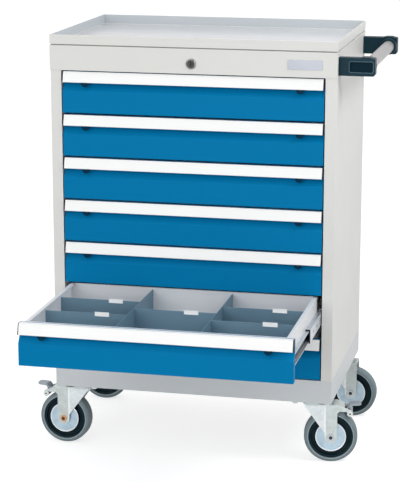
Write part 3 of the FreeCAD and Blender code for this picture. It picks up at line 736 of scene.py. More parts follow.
def bridge(work: bmesh.types.BMesh, near: Ring, far: Ring, number: int = 0) -> None:
    """Join two rings of points with a band of faces.

    Args:
        work: The mesh.
        near: The first ring.
        far: The second ring.
        number: The band's finish.
    """
    for index in range(len(near)):
        on = (index + 1) % len(near)
        work.faces.new((near[index], near[on], far[on], far[index])).material_index = number


def bevel(
    work: bmesh.types.BMesh, edges: Sequence[bmesh.types.BMEdge], width: float, segments: int = 2, slide: bool = True
) -> None:
    """Round some edges.

    Args:
        work: The mesh.
        edges: The edges.
        width: How far the rounding reaches on each side.
        segments: Number of faces across it.
        slide: Whether its ends follow the neighbouring edges.
    """
    bmesh.ops.bevel(
        work, geom=edges, offset=width, offset_type="OFFSET", segments=segments, profile=0.5, affect="EDGES",
        clamp_overlap=True, loop_slide=slide,
    )


def round_edges(work: bmesh.types.BMesh, width: float) -> None:
    """Round the edges where two faces meet at more than a small angle.

    Args:
        work: The mesh.
        width: How far the rounding reaches on each side.
    """
    sharp = []
    for edge in work.edges:
        if len(edge.link_faces) == 2 and edge.calc_face_angle(0.0) > ROUNDED_BEND:
            sharp.append(edge)
    bevel(work, sharp, width)


def finish_object(name: str, mesh: bpy.types.Mesh, finishes: Sequence[Finish]) -> bpy.types.Object:
    """Link a mesh as a piece, with smooth shading between its sharp edges.

    Args:
        name: Name of the piece.
        mesh: Its mesh, in place.
        finishes: Its finishes, in the order of its faces' numbers.

    Returns:
        The piece.
    """
    numbers = [polygon.material_index for polygon in mesh.polygons]
    mesh.materials.clear()
    for finish in finishes:
        mesh.materials.append(finish.material())
    mesh.polygons.foreach_set("material_index", [min(number, len(finishes) - 1) for number in numbers])
    mesh.polygons.foreach_set("use_smooth", [True] * len(mesh.polygons))
    mesh.set_sharp_from_angle(angle=SHARP_BEND)
    draft = bpy.data.objects.new(name + "_draft", mesh)
    bpy.context.scene.collection.objects.link(draft)
    even = draft.modifiers.new("even", "WEIGHTED_NORMAL")
    even.keep_sharp = True
    even.weight = SHARP_WEIGHT
    view = bpy.context.evaluated_depsgraph_get()
    whole = bpy.data.meshes.new_from_object(draft.evaluated_get(view))
    bpy.data.objects.remove(draft)
    piece = bpy.data.objects.new(name, whole)
    whole.name = name
    bpy.context.scene.collection.objects.link(piece)
    return piece


def mesh_of(work: bmesh.types.BMesh, name: str) -> bpy.types.Mesh:
    """Turn working geometry into a mesh and free it.

    Args:
        work: The geometry.
        name: Name of the mesh.

    Returns:
        The mesh.
    """
    mesh = bpy.data.meshes.new(name)
    work.to_mesh(mesh)
    work.free()
    return mesh


def join_meshes(name: str, meshes: Iterable[bpy.types.Mesh]) -> bpy.types.Mesh:
    """Put several meshes into one.

    Args:
        name: Name of the joined mesh.
        meshes: The meshes, which are used up.

    Returns:
        The joined mesh.
    """
    work = bmesh.new()
    for mesh in list(meshes):
        work.from_mesh(mesh)
        bpy.data.meshes.remove(mesh)
    return mesh_of(work, name)


def number_all(mesh: bpy.types.Mesh, number: int) -> bpy.types.Mesh:
    """Give all faces of a mesh the finish with one number, and return the mesh."""
    mesh.polygons.foreach_set("material_index", [number] * len(mesh.polygons))
    return mesh


def arc_corners(points: Outline, radii: Sequence[float], steps: int = 4) -> Outline:
    """Round the corners of a closed outline.

    Args:
        points: Its corners in order.
        radii: Radius at each corner; 0 leaves it sharp.
        steps: Number of faces round each corner.

    Returns:
        The rounded outline.
    """
    result: Outline = []
    count = len(points)
    for index, (point, radius) in enumerate(zip(points, radii)):
        here = Vector(point)
        if radius <= 0:
            result.append(point)
            continue
        back = (Vector(points[index - 1]) - here).normalized()
        on = (Vector(points[(index + 1) % count]) - here).normalized()
        half = math.acos(max(-1.0, min(1.0, back.dot(on)))) / 2
        reach = radius / math.tan(half)
        centre = here + (back + on).normalized() * (radius / math.sin(half))
        start = here + back * reach - centre
        swing = start.angle_signed(here + on * reach - centre)
        for step in range(steps + 1):
            angle = -swing * step / steps
            x = start.x * math.cos(angle) - start.y * math.sin(angle)
            y = start.x * math.sin(angle) + start.y * math.cos(angle)
            result.append((centre.x + x, centre.y + y))
    return result


def rectangle(x0: float, x1: float, y0: float, y1: float) -> Outline:
    """Corners of a rectangle between two places on each axis."""
    return [(x0, y0), (x1, y0), (x1, y1), (x0, y1)]


def outward(mesh: bpy.types.Mesh, where: Matrix) -> bpy.types.Mesh:
    """Put a mesh in place, weld it, close it and turn its faces outward.

    Args:
        mesh: The mesh.
        where: Its place.

    Returns:
        The same mesh.
    """
    work = bmesh.new()
    work.from_mesh(mesh)
    bmesh.ops.transform(work, matrix=where, verts=work.verts)
    bmesh.ops.remove_doubles(work, verts=work.verts, dist=WELD_REACH)
    open_edges = [edge for edge in work.edges if len(edge.link_faces) == 1]
    if open_edges:
        bmesh.ops.holes_fill(work, edges=open_edges, sides=0)
    bmesh.ops.recalc_face_normals(work, faces=work.faces)
    work.to_mesh(mesh)
    work.free()
    return mesh


def outline_seed(outline: Outline, closed: bool = True) -> bpy.types.Mesh:
    """Make a mesh of the points of an outline, in order.

    Args:
        outline: Its points.
        closed: Repeat the first point at the end.

    Returns:
        The seed mesh.
    """
    points = outline + [outline[0]] if closed else outline
    mesh = bpy.data.meshes.new("outline")
    edges = [(index, index + 1) for index in range(len(points) - 1)]
    mesh.from_pydata([(x, y, 0.0) for x, y in points], edges, [])
    return mesh


class NodeShape:
    """A Geometry Nodes tree with named inputs that is run on a seed mesh and gives a plain mesh."""

    def __init__(self, name: str, inputs: Sequence[Socket]) -> None:
        """Start the tree with a geometry input, the named inputs, a material, and a geometry output.

        Args:
            name: Name of the tree.
            inputs: Its named inputs.
        """
        self.tree = bpy.data.node_groups.new(name, "GeometryNodeTree")
        for socket in (Socket("Geometry", SHAPE), *inputs, Socket("Material", "NodeSocketMaterial")):
            socket.add(self.tree, "INPUT")
        Socket("Geometry", SHAPE).add(self.tree, "OUTPUT")
        self.maker = TreeMaker(self.tree)
        self.given = self.maker.put("NodeGroupInput").outputs

    def rows(self, count: object) -> tuple[bpy.types.NodeSocket, bpy.types.NodeSocket, Sockets]:
        """Lay a grid whose every row copies the seed's points.

        Args:
            count: Number of rows.

        Returns:
            The grid, each point's row, and the place of the seed's point in X, Y and Z.
        """
        put, total, seed = self.maker.put, self.maker.sum, self.given["Geometry"]
        points = put("GeometryNodeAttributeDomainSize", {"Geometry": seed}).outputs["Point Count"]
        grid = put("GeometryNodeMeshGrid", {"Vertices X": count, "Vertices Y": points}).outputs["Mesh"]
        index = put("GeometryNodeInputIndex").outputs[0]
        row = total("FLOOR", total("DIVIDE", total("ADD", index, 0.25), points))
        column = total("SUBTRACT", index, total("MULTIPLY", row, points))
        place = put("GeometryNodeInputPosition").outputs[0]
        values = {"Geometry": seed, "Value": place, "Index": column}
        sample = put("GeometryNodeSampleIndex", values, data_type="FLOAT_VECTOR", domain="POINT")
        return grid, row, put("ShaderNodeSeparateXYZ", {0: sample.outputs[0]}).outputs

    def bend(self, grid: bpy.types.NodeSocket, places: Sequence[bpy.types.NodeSocket]) -> bpy.types.NodeSocket:
        """Move the points of a grid.

        Args:
            grid: The grid.
            places: Their new X, Y and Z.

        Returns:
            The moved grid.
        """
        spot = self.maker.put("ShaderNodeCombineXYZ", dict(enumerate(places))).outputs[0]
        return self.maker.put("GeometryNodeSetPosition", {"Geometry": grid, "Position": spot}).outputs[0]

    def close(self, shape: bpy.types.NodeSocket) -> None:
        """End the tree by realising instances and setting the material.

        Args:
            shape: The tree's last geometry.
        """
        put = self.maker.put
        whole = put("GeometryNodeRealizeInstances", {"Geometry": shape}).outputs[0]
        dressed = put("GeometryNodeSetMaterial", {"Geometry": whole, "Material": self.given["Material"]})
        put("NodeGroupOutput", {"Geometry": dressed.outputs[0]})

    def run(self, seed: bpy.types.Mesh, finish: Finish, values: dict[str, object]) -> bpy.types.Mesh:
        """Evaluate the tree once.

        Args:
            seed: The mesh it starts from, which is used up.
            finish: The finish it sets.
            values: Its inputs by name.

        Returns:
            A plain mesh.
        """
        carrier = bpy.data.objects.new(self.tree.name + "_carrier", seed)
        bpy.context.scene.collection.objects.link(carrier)
        modifier = carrier.modifiers.new("shape", "NODES")
        modifier.node_group = self.tree
        wanted = dict(values, Material=finish.material())
        for item in self.tree.interface.items_tree:
            if item.in_out == "INPUT" and item.name in wanted:
                modifier[item.identifier] = wanted[item.name]
        view = bpy.context.evaluated_depsgraph_get()
        mesh = bpy.data.meshes.new_from_object(carrier.evaluated_get(view))
        bpy.data.objects.remove(carrier)
        bpy.data.meshes.remove(seed)
        return number_all(mesh, 0)


class TurnedShape(NodeShape):
    """Turns an outline of (radius, place along the axis) once round the Y axis."""

    def __init__(self) -> None:
        """Build the tree: each row of a grid is the outline, turned a step further."""
        super().__init__("turned_shape", [Socket("Steps", INTEGER, 64), Socket("Weld", FLOAT, 0.00002)])
        total, steps = self.maker.sum, self.given["Steps"]
        grid, row, seed = self.rows(total("ADD", steps, 1.0))
        angle = total("DIVIDE", total("MULTIPLY", row, math.tau), steps)
        x = total("MULTIPLY", seed["X"], total("COSINE", angle))
        z = total("MULTIPLY", seed["X"], total("SINE", angle))
        moved = self.bend(grid, (x, seed["Y"], z))
        welded = self.maker.put("GeometryNodeMergeByDistance", {"Geometry": moved, "Distance": self.given["Weld"]})
        self.close(welded.outputs[0])

    def make(
        self, outline: Outline, finish: Finish, where: Matrix, closed: bool = True, steps: int = 64
    ) -> bpy.types.Mesh:
        """Turn an outline and put it in place.

        Args:
            outline: (radius, place along the axis) of each point.
            finish: The finish.
            where: Where the axis goes; it runs along Y before.
            closed: Whether the outline comes back to its start.
            steps: Number of faces round the axis.

        Returns:
            The mesh in place, faces outward.
        """
        return outward(self.run(outline_seed(outline, closed), finish, {"Steps": steps}), where)


class DrawnShape(NodeShape):
    """Draws a closed outline of (y, z) out along X."""

    def __init__(self) -> None:
        """Build the tree: a grid of two rows, one at each end."""
        super().__init__("drawn_shape", [Socket("Start", FLOAT, 0.0), Socket("End", FLOAT, 1.0)])
        total, start = self.maker.sum, self.given["Start"]
        grid, row, seed = self.rows(2)
        reach = total("SUBTRACT", self.given["End"], start)
        x = total("ADD", start, total("MULTIPLY", row, reach))
        self.close(self.bend(grid, (x, seed["X"], seed["Y"])))

    def make(self, outline: Outline, start: float, end: float, finish: Finish) -> bpy.types.Mesh:
        """Draw an outline between two places on X and close its ends.

        Args:
            outline: (y, z) of each corner.
            start: Where it starts.
            end: Where it ends.
            finish: The finish.

        Returns:
            The mesh.
        """
        return outward(self.run(outline_seed(outline), finish, {"Start": start, "End": end}), Matrix.Identity(4))


class FastenerRows(NodeShape):
    """Puts one fastener on every point of the seed, each turned a little at random about Z."""

    def __init__(self) -> None:
        """Build the tree."""
        inputs = [Socket("Fastener", "NodeSocketObject"), Socket("Turn", FLOAT, 1.0), Socket("Seed", INTEGER, 7)]
        super().__init__("fastener_rows", inputs)
        put = self.maker.put
        shape = put("GeometryNodeObjectInfo", {"Object": self.given["Fastener"]})
        values = {"Min": 0.0, "Max": self.given["Turn"], "Seed": self.given["Seed"]}
        random = put("FunctionNodeRandomValue", values, data_type="FLOAT")
        number = next(s for s in random.outputs if s.enabled and s.type == "VALUE")
        turn = put("ShaderNodeCombineXYZ", {2: number}).outputs[0]
        points = put("GeometryNodeMeshToPoints", {"Mesh": self.given["Geometry"]}).outputs[0]
        rows = put(
            "GeometryNodeInstanceOnPoints",
            {"Points": points, "Instance": shape.outputs["Geometry"], "Rotation": turn},
        )
        self.close(rows.outputs[0])


class LoopShape(NodeShape):
    """A thin bead that follows a rounded rectangle in the XY plane."""

    def __init__(self) -> None:
        """Build the tree."""
        inputs = {"Length": 0.05, "Height": 0.02, "Corner": 0.002, "Bead": 0.0005}
        super().__init__("bead_loop", [Socket(name, FLOAT, size) for name, size in inputs.items()])
        put, given = self.maker.put, self.given
        sides = {"Width": given["Length"], "Height": given["Height"]}
        path = put("GeometryNodeCurvePrimitiveQuadrilateral", sides).outputs[0]
        corners = {"Curve": path, "Radius": given["Corner"], "Count": 6}
        bent = put("GeometryNodeFilletCurve", corners, mode="POLY").outputs[0]
        bead = put("GeometryNodeCurvePrimitiveCircle", {"Resolution": 10, "Radius": given["Bead"]}).outputs[0]
        self.close(put("GeometryNodeCurveToMesh", {"Curve": bent, "Profile Curve": bead}).outputs[0])

    def make(self, sizes: dict[str, object], finish: Finish, where: Matrix) -> bpy.types.Mesh:
        """Make one loop.

        Args:
            sizes: Length and height of the rectangle, and the radii of its corner and of the bead.
            finish: The finish.
            where: Place of its centre; the loop lies in XY before.

        Returns:
            The mesh.
        """
        return outward(self.run(bpy.data.meshes.new("none"), finish, sizes), where)


TURNED = TurnedShape()
DRAWN = DrawnShape()
ROWS = FastenerRows()
LOOPS = LoopShape()


def settle(
    mesh: bpy.types.Mesh, name: str, finishes: Sequence[Finish], body: str, nodes: Sequence[str] = ()
) -> None:
    """Make a piece of a mesh in place.

    Args:
        mesh: The mesh.
        name: Name of the piece.
        finishes: Its finishes.
        body: The body it rides on.
        nodes: CAD nodes that it stands for.
    """
    piece = finish_object(name, mesh, finishes)
    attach(piece, body)
    if nodes:
        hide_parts(*nodes)


def soften(
    node: str,
    name: str,
    finish: Finish,
    body: str,
    width: float,
    wanted: Test | None = None,
    split: tuple[float, int] | None = None,
    stands_for: bool = True,
) -> None:
    """Make a piece from a CAD node with its bends and edges rounded.

    Args:
        node: The CAD node.
        name: Name of the piece.
        finish: Its finish.
        body: The body it rides on.
        width: Reach of the rounding.
        wanted: Test of a solid's corners, for a node of several solids.
        split: Where touching solids part on Y, and the side to keep.
        stands_for: Whether the piece hides the node.
    """
    work = fetch_node_mesh(node, split)
    if wanted is not None:
        keep_parts(work, wanted)
    round_edges(work, width)
    settle(mesh_of(work, name), name, [finish], body, [node] if stands_for else [])


def dress(node: str, finish: Finish) -> None:
    """Give a CAD node that stays as it is its finish.

    Args:
        node: The CAD node.
        finish: Its finish.
    """
    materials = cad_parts[node].data.materials
    materials.clear()
    materials.append(finish.material())


@dataclass
class Carcass:
    """Side panels, rear sheet, floor, hood and base frame."""

    panel_round: float = 0.0006
    hood_round: float = 0.0007
    frame_round: float = 0.0008

    def build(self) -> int:
        """Build the body's sheets.

        Returns:
            Number of pieces.
        """
        sheets = (
            ("side_panel_left", "_sheet", BODY, self.panel_round),
            ("side_panel_right", "_sheet", BODY, self.panel_round),
            ("rear_panel", "_sheet", HOOD, self.panel_round),
            ("top_hood", "_sheet", HOOD, self.hood_round),
            ("base_frame", "_plinth", PLINTH, self.frame_round),
        )
        for node, ending, finish, width in sheets:
            soften(node, node + ending, finish, "cabinet", width)
        dress("floor_panel", HOOD)
        dress("cabinet_rails", SLIDE)
        return len(sheets)


@dataclass
class TopTray:
    """Open tray on the roof: floor and hemmed rim, standing off the hood by a narrow seam."""

    hem: float = 0.003
    floor: float = 0.0015
    corner: float = 0.0012
    least_corner: float = 0.0004
    seam_rings: int = 2
    seam: float = 0.0023
    seam_depth: float = 0.0026
    hem_inner: float = 0.0012

    def section(self, low: float, high: float) -> Outline:
        """Section of the rim as (distance in from the outer face, height), from the underside to the floor.

        Args:
            low: Height of the underside.
            high: Height of the rim.

        Returns:
            The points of the section.
        """
        floor = low + self.floor
        return [
            (self.seam_depth, low), (self.seam_depth, low + self.seam), (0.0006, low + self.seam),
            (0.0002, low + self.seam + 0.0002), (0.0, low + self.seam + 0.0006), (0.0, high - 0.0010),
            (0.0003, high - 0.0003), (0.0010, high), (self.hem - 0.0012, high), (self.hem - 0.0004, high - 0.0004),
            (self.hem, high - 0.0012), (self.hem, floor + 0.0008), (self.hem + 0.0003, floor + 0.0002),
            (self.hem + 0.0010, floor),
        ]

    def build(self) -> int:
        """Build the tray; its underside and outer rim, its floor, and its seam and inner faces, both in painted
        shade, differ in finish.

        Returns:
            Number of pieces.
        """
        low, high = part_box("tray_top")
        work = bmesh.new()
        rings = []
        section = self.section(low.z, high.z)
        for inset, z in section:
            corners = rectangle(low.x + inset, high.x - inset, low.y + inset, high.y - inset)
            ring = arc_corners(corners, [max(self.corner - inset, self.least_corner)] * 4, steps=3)
            rings.append([work.verts.new((x, y, z)) for x, y in ring])
        for place, (near, far) in enumerate(zip(rings, rings[1:])):
            # Inner faces of the rim take the painted shade.
            rim_inner_shaded = section[place][0] >= self.hem - self.hem_inner and section[place][1] > low.z + self.seam
            # The seam's recess takes a darker painted shade.
            bridge(work, near, far, 3 if place < self.seam_rings else int(rim_inner_shaded))
        work.faces.new(rings[0])
        work.faces.new(rings[-1]).material_index = 2
        bmesh.ops.recalc_face_normals(work, faces=work.faces)
        finishes = [HOOD, TRAY_RIM_SHADE, TRAY, SEAM_SHADE]
        settle(mesh_of(work, "tray"), "tray_pan", finishes, "cabinet", ["tray_top"])
        return 1


@dataclass
class FasciaFittings:
    """Lock and bare plate on the fascia, and the lock bar behind the drawers."""

    bore: float = 0.00805
    sleeve: float = 0.010
    rosette: float = 0.012
    rosette_depth: float = 0.002
    small_round: float = 0.0003

    def build(self) -> int:
        """Build the fittings.

        Returns:
            Number of pieces.
        """
        low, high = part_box("lock_housing")
        middle = Vector(((low.x + high.x) / 2, 0.0, (low.z + high.z) / 2))
        face = low.y + self.rosette_depth
        outline = [
            (self.bore, low.y + 0.0006), (self.bore + 0.0006, low.y), (self.rosette - 0.0012, low.y),
            (self.rosette - 0.0004, low.y + 0.0004), (self.rosette, low.y + 0.0012), (self.rosette, face),
            (self.sleeve, face), (self.sleeve, high.y), (self.bore, high.y),
        ]
        mesh = TURNED.make(outline, CHROME, Matrix.Translation(middle), steps=48)
        settle(mesh, "lock_rosette", [CHROME], "cabinet", ["lock_housing"])
        soften("lock_cylinder", "lock_plug_and_rod", LOCK_DARK, "lock_cylinder", self.small_round)
        dress("lock_bar", ROD)
        soften("name_plate", "bare_plate", PLATE, "cabinet", self.small_round)
        return 3


@dataclass
class SideHandle:
    """Two moulded brackets and the grip tube between them."""

    corner: float = 0.006
    edge: float = 0.0015
    pocket_length: float = 0.052
    pocket_height: float = 0.023
    pocket_depth: float = 0.004
    pocket_from_end: float = 0.005
    pocket_corner: float = 0.003
    bead: float = 0.0006
    bead_offset: float = 0.0008
    tube_from_end: float = 0.020
    tube_below_top: float = 0.021
    tube_radius: float = 0.014
    tube_wall: float = 0.002
    cup_radius: float = 0.0195
    cup_length: float = 0.012
    cup_overlap: float = 0.009
    block: float = 0.026
    bump: float = 0.002
    bump_half: float = 0.015
    bump_corner: float = 0.004
    least_corner: float = 0.001
    tube_round: float = 0.0006

    def outline(self, inset: float) -> Outline:
        """Side outline (x, z) of a bracket.

        Args:
            inset: How far it is drawn in.

        Returns:
            The closed outline.
        """
        low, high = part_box("handle_brackets")
        left, right, base = low.x, high.x - inset, low.z + inset
        top, crest = high.z - self.bump - inset, high.z - inset
        tube_x = high.x - self.tube_from_end
        corner, soft = max(self.corner - inset, self.least_corner), self.bump_corner
        points = [
            (left, base), (right, base), (right, top), (tube_x + self.bump_half - 0.002, top),
            (tube_x + self.bump_half / 2, crest), (tube_x - self.bump_half / 2, crest),
            (tube_x - self.bump_half, top), (left, top),
        ]
        return arc_corners(points, [0, corner, corner * 0.7, soft, soft, soft, soft, 0], steps=5)

    def pocket_centre(self) -> tuple[float, float]:
        """Middle (x, z) of the recess in a bracket's outer face."""
        low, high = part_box("handle_brackets")
        return high.x - self.pocket_from_end - self.pocket_length / 2, (low.z + high.z - self.bump) / 2

    def block_mesh(self, outer: float, way: float) -> bpy.types.Mesh:
        """Body of one bracket with the recess in its outer face, whose deepest band and floor are painted in shade.

        Args:
            outer: Y of the face with the recess.
            way: +1 if the bracket reaches towards +Y from there, -1 if not.

        Returns:
            The mesh.
        """
        work = bmesh.new()
        inner = outer + way * self.block
        rings = []
        for y, inset in (
            (outer, self.edge),
            (outer + way * self.edge * 0.3, self.edge * 0.3),
            (outer + way * self.edge, 0.0),
            (inner - way * self.edge, 0.0),
            (inner - way * self.edge * 0.3, self.edge * 0.3),
            (inner, self.edge),
        ):
            rings.append([work.verts.new((x, y, z)) for x, z in self.outline(inset)])
        for near, far in zip(rings, rings[1:]):
            bridge(work, near, far)
        work.faces.new(rings[-1])
        pocket = self.pocket_rings(work, outer, way)
        border = [work.edges.get(pair) for pair in zip(rings[0], rings[0][1:] + rings[0][:1])]
        border += [work.edges.new(pair) for pair in zip(pocket[0], pocket[0][1:] + pocket[0][:1])]
        # The recess's last band and floor take the painted shade.
        for near, far in zip(pocket, pocket[1:]):
            bridge(work, near, far, 2 if far is pocket[-1] else 0)
        work.faces.new(pocket[-1]).material_index = 2
        bmesh.ops.triangle_fill(work, edges=border, use_beauty=True, normal=(0.0, -way, 0.0))
        bmesh.ops.recalc_face_normals(work, faces=work.faces)
        return mesh_of(work, "bracket_block")

    def pocket_rings(self, work: bmesh.types.BMesh, outer: float, way: float) -> list[Ring]:
        """Rings of the recess from its mouth to its floor.

        Args:
            work: The geometry to add to.
            outer: Y of the outer face.
            way: +1 if the recess goes towards +Y.

        Returns:
            The rings of points.
        """
        centre_x, centre_z = self.pocket_centre()
        rings = []
        for inset, depth in (
            (0.0, 0.0), (0.0004, 0.0008), (0.0012, self.pocket_depth * 0.9), (0.002, self.pocket_depth),
        ):
            half_x = self.pocket_length / 2 - inset
            half_z = self.pocket_height / 2 - inset
            corners = rectangle(-half_x, half_x, -half_z, half_z)
            ring = arc_corners(corners, [self.pocket_corner - inset] * 4, steps=4)
            rings.append([work.verts.new((centre_x + x, outer + way * depth, centre_z + z)) for x, z in ring])
        return rings

    def cup_outline(self, inner: float, way: float) -> Outline:
        """Outline of the cup that holds the tube's end.

        Args:
            inner: Y of the bracket's face towards the tube.
            way: The way the cup points along Y.

        Returns:
            (radius, y) of each point.
        """
        tip = inner + way * self.cup_length
        radius, tube = self.cup_radius, self.tube_radius
        return [
            (tube + 0.0002, inner - way * self.cup_overlap), (tube + 0.0002, tip - way * 0.0008), (tube + 0.001, tip),
            (radius - 0.0018, tip), (radius - 0.0005, tip - way * 0.0006), (radius, tip - way * 0.002),
            (radius, inner - way * 0.001),
        ]

    def bead_mesh(self, outer: float) -> bpy.types.Mesh:
        """Bead round the recess, coloured as a painted highlight.

        Args:
            outer: Y of the face with the recess.

        Returns:
            The mesh, with the second finish.
        """
        centre_x, centre_z = self.pocket_centre()
        sizes = {
            "Length": self.pocket_length + 2 * self.bead_offset,
            "Height": self.pocket_height + 2 * self.bead_offset,
            "Corner": self.pocket_corner + self.bead_offset,
            "Bead": self.bead,
        }
        upright = Matrix.Translation((centre_x, outer, centre_z)) @ Matrix.Rotation(math.pi / 2, 4, "X")
        return number_all(LOOPS.make(sizes, BRACKET_BEAD_HIGHLIGHT, upright), 1)

    def build(self) -> int:
        """Build the handle.

        Returns:
            Number of pieces.
        """
        low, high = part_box("handle_brackets")
        tube_z = high.z - self.bump - self.tube_below_top
        axis = Matrix.Translation((high.x - self.tube_from_end, 0.0, tube_z))
        meshes = []
        for outer, way in ((low.y, 1.0), (high.y, -1.0)):
            meshes.append(self.block_mesh(outer, way))
            cup = self.cup_outline(outer + way * self.block, way)
            meshes.append(TURNED.make(cup, BRACKET, axis, steps=48))
            meshes.append(self.bead_mesh(outer))
        mesh = join_meshes("brackets", meshes)
        finishes = [BRACKET, BRACKET_BEAD_HIGHLIGHT, BRACKET_HOLLOW_SHADE]
        settle(mesh, "handle_bracket_pair", finishes, "cabinet", ["handle_brackets"])
        first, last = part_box("handle_tube")
        radius, soft = self.tube_radius, self.tube_round
        tube = [
            (radius - self.tube_wall, first.y), (radius - soft, first.y), (radius, first.y + soft),
            (radius, last.y - soft), (radius - soft, last.y), (radius - self.tube_wall, last.y),
        ]
        mesh = TURNED.make(tube, TUBE, axis, steps=64)
        settle(mesh, "handle_grip_tube", [TUBE], "cabinet", ["handle_tube"])
        return 2


def mark_races(work: bmesh.types.BMesh) -> None:
    """Give the set-back inner faces of a pair of rails the second finish, a dark painted shade.

    Args:
        work: The rails, one on each side of the middle.
    """
    outer = max(abs(corner.co.x) for corner in work.verts)
    for face in work.faces:
        middle = face.calc_center_median()
        sideways = abs(face.normal.x) > FACING_SIDE and face.normal.x * middle.x > 0
        if sideways and abs(middle.x) < outer - RACE_DEPTH:
            face.material_index = 1


@dataclass
class Drawer:
    """One drawer: tub, rails, front pan, and grip strip with its caps and clips."""

    number: int
    top_fall: float
    strip_height: float = 0.025
    overhang: float = 0.005
    setback: float = 0.002
    strip_depth: float = 0.014
    wall: float = 0.002
    lip: float = 0.004
    cap: float = 0.002
    clip_radius: float = 0.009
    clip_drop: float = 0.0095
    clip_thickness: float = 0.003
    clip_inset: float = 0.054
    clip_round: float = 0.0006
    clip_steps: int = 16
    bumper: float = 0.008
    pan_round: float = 0.0006
    tub_round: float = 0.0005
    rail_round: float = 0.0004
    name: str = field(init=False)

    def __post_init__(self) -> None:
        """Name the drawer by its number."""
        self.name = "drawer_" + str(self.number)

    def strip_outline(self, face: float, top: float) -> Outline:
        """Section of the hollow grip strip.

        Args:
            face: Y of the drawer's face.
            top: Height of the drawer's top edge.

        Returns:
            (y, z) corners, rounded.
        """
        low = top - self.strip_height
        lean = (self.setback + self.overhang) / self.strip_height * self.wall
        back, crest, toe = face + self.strip_depth, face + self.setback, face - self.overhang
        points = [
            (back, top - self.top_fall), (crest + 0.001, top), (crest, top - 0.0002), (toe, low),
            (toe + self.lip, low), (toe + self.lip, low + self.wall), (toe + self.wall + lean, low + self.wall),
            (crest + self.wall - lean, top - self.wall), (back, top - self.wall - self.top_fall),
        ]
        return arc_corners(points, [0, 0.0004, 0.0004, 0.0012, 0.0006, 0.0006, 0, 0, 0])

    def cap_outline(self, face: float, top: float) -> Outline:
        """Section of an end cap, which closes the strip's end.

        Args:
            face: Y of the drawer's face.
            top: Height of the drawer's top edge.

        Returns:
            (y, z) corners, rounded.
        """
        low = top - self.strip_height
        back, crest, toe = face + self.strip_depth, face + self.setback, face - self.overhang
        points = [
            (back, top - self.top_fall), (crest + 0.001, top), (crest, top - 0.0002), (toe, low),
            (toe + self.lip, low), (back, top - self.strip_height / 4),
        ]
        return arc_corners(points, [0.0005, 0.0004, 0.0004, 0.0012, 0.0006, 0.001])

    def clip_mesh(self, x: float, face: float, top: float) -> bpy.types.Mesh:
        """Half-moon clip that hangs under the strip's lower edge.

        Args:
            x: Its middle.
            face: Y of the drawer's face.
            top: Height of the drawer's top edge.

        Returns:
            The mesh.
        """
        low = top - self.strip_height
        centre = low + self.clip_radius - self.clip_drop
        half = math.acos((centre - low) / self.clip_radius)
        work = bmesh.new()
        ring = []
        for step in range(self.clip_steps + 1):
            angle = -half + step * half / (self.clip_steps / 2)
            place = (x + self.clip_radius * math.sin(angle), centre - self.clip_radius * math.cos(angle))
            ring.append(work.verts.new((place[0], face - self.overhang, place[1])))
        pushed = bmesh.ops.extrude_face_region(work, geom=[work.faces.new(ring)])["geom"]
        corners = [v for v in pushed if isinstance(v, bmesh.types.BMVert)]
        bmesh.ops.translate(work, verts=corners, vec=(0.0, self.clip_thickness, 0.0))
        bmesh.ops.recalc_face_normals(work, faces=work.faces)
        round_edges(work, self.clip_round)
        return mesh_of(work, "clip")

    def build_front(self) -> int:
        """Build the pan, the strip, its caps and its clips.

        Returns:
            Number of pieces.
        """
        name = self.name
        low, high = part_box(name + "_front")
        face, top, end = low.y, high.z, high.x
        soften(name + "_front", name + "_pan", BLUE, name, self.pan_round)
        strip = DRAWN.make(self.strip_outline(face, top), -end + self.cap, end - self.cap, WHITE)
        settle(strip, name + "_strip", [WHITE], name, [name + "_grip_strip"])
        section = self.cap_outline(face, top)
        caps = [DRAWN.make(section, *ends, CAP) for ends in ((-end, -end + self.cap), (end - self.cap, end))]
        settle(join_meshes("caps", caps), name + "_strip_caps", [CAP], name)
        clips = [self.clip_mesh(side * (end - self.clip_inset), face, top) for side in (-1, 1)]
        settle(join_meshes("clips", clips), name + "_strip_clips", [CLIP], name)
        return 4

    def build(self) -> int:
        """Build the drawer's pieces.

        Returns:
            Number of pieces.
        """
        fronts = self.build_front()
        name, box = self.name, self.name + "_box"
        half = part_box(box)[1].x
        soften(box, name + "_tub", TUB, name, self.tub_round, lambda low, high: high.x - low.x > half)
        rails = fetch_node_mesh(box)
        keep_parts(rails, lambda low, high: high.x - low.x < half)
        round_edges(rails, self.rail_round)
        mark_races(rails)
        settle(mesh_of(rails, "rails"), name + "_tub_rails", [SLIDE, RACE_SHADE], name)
        mid = name + "_mid_rails"
        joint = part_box(mid)[0].y + self.bumper
        for ending, finish, slot, side in (
            ("_middle_rails", SLIDE, "slide_steel", 1), ("_rail_bumpers", BUMPER, "core_black", -1),
        ):
            soften(
                mid, name + ending, finish, mid, self.rail_round, split=(joint, side), stands_for=side == 1
            )
        return fronts + 4


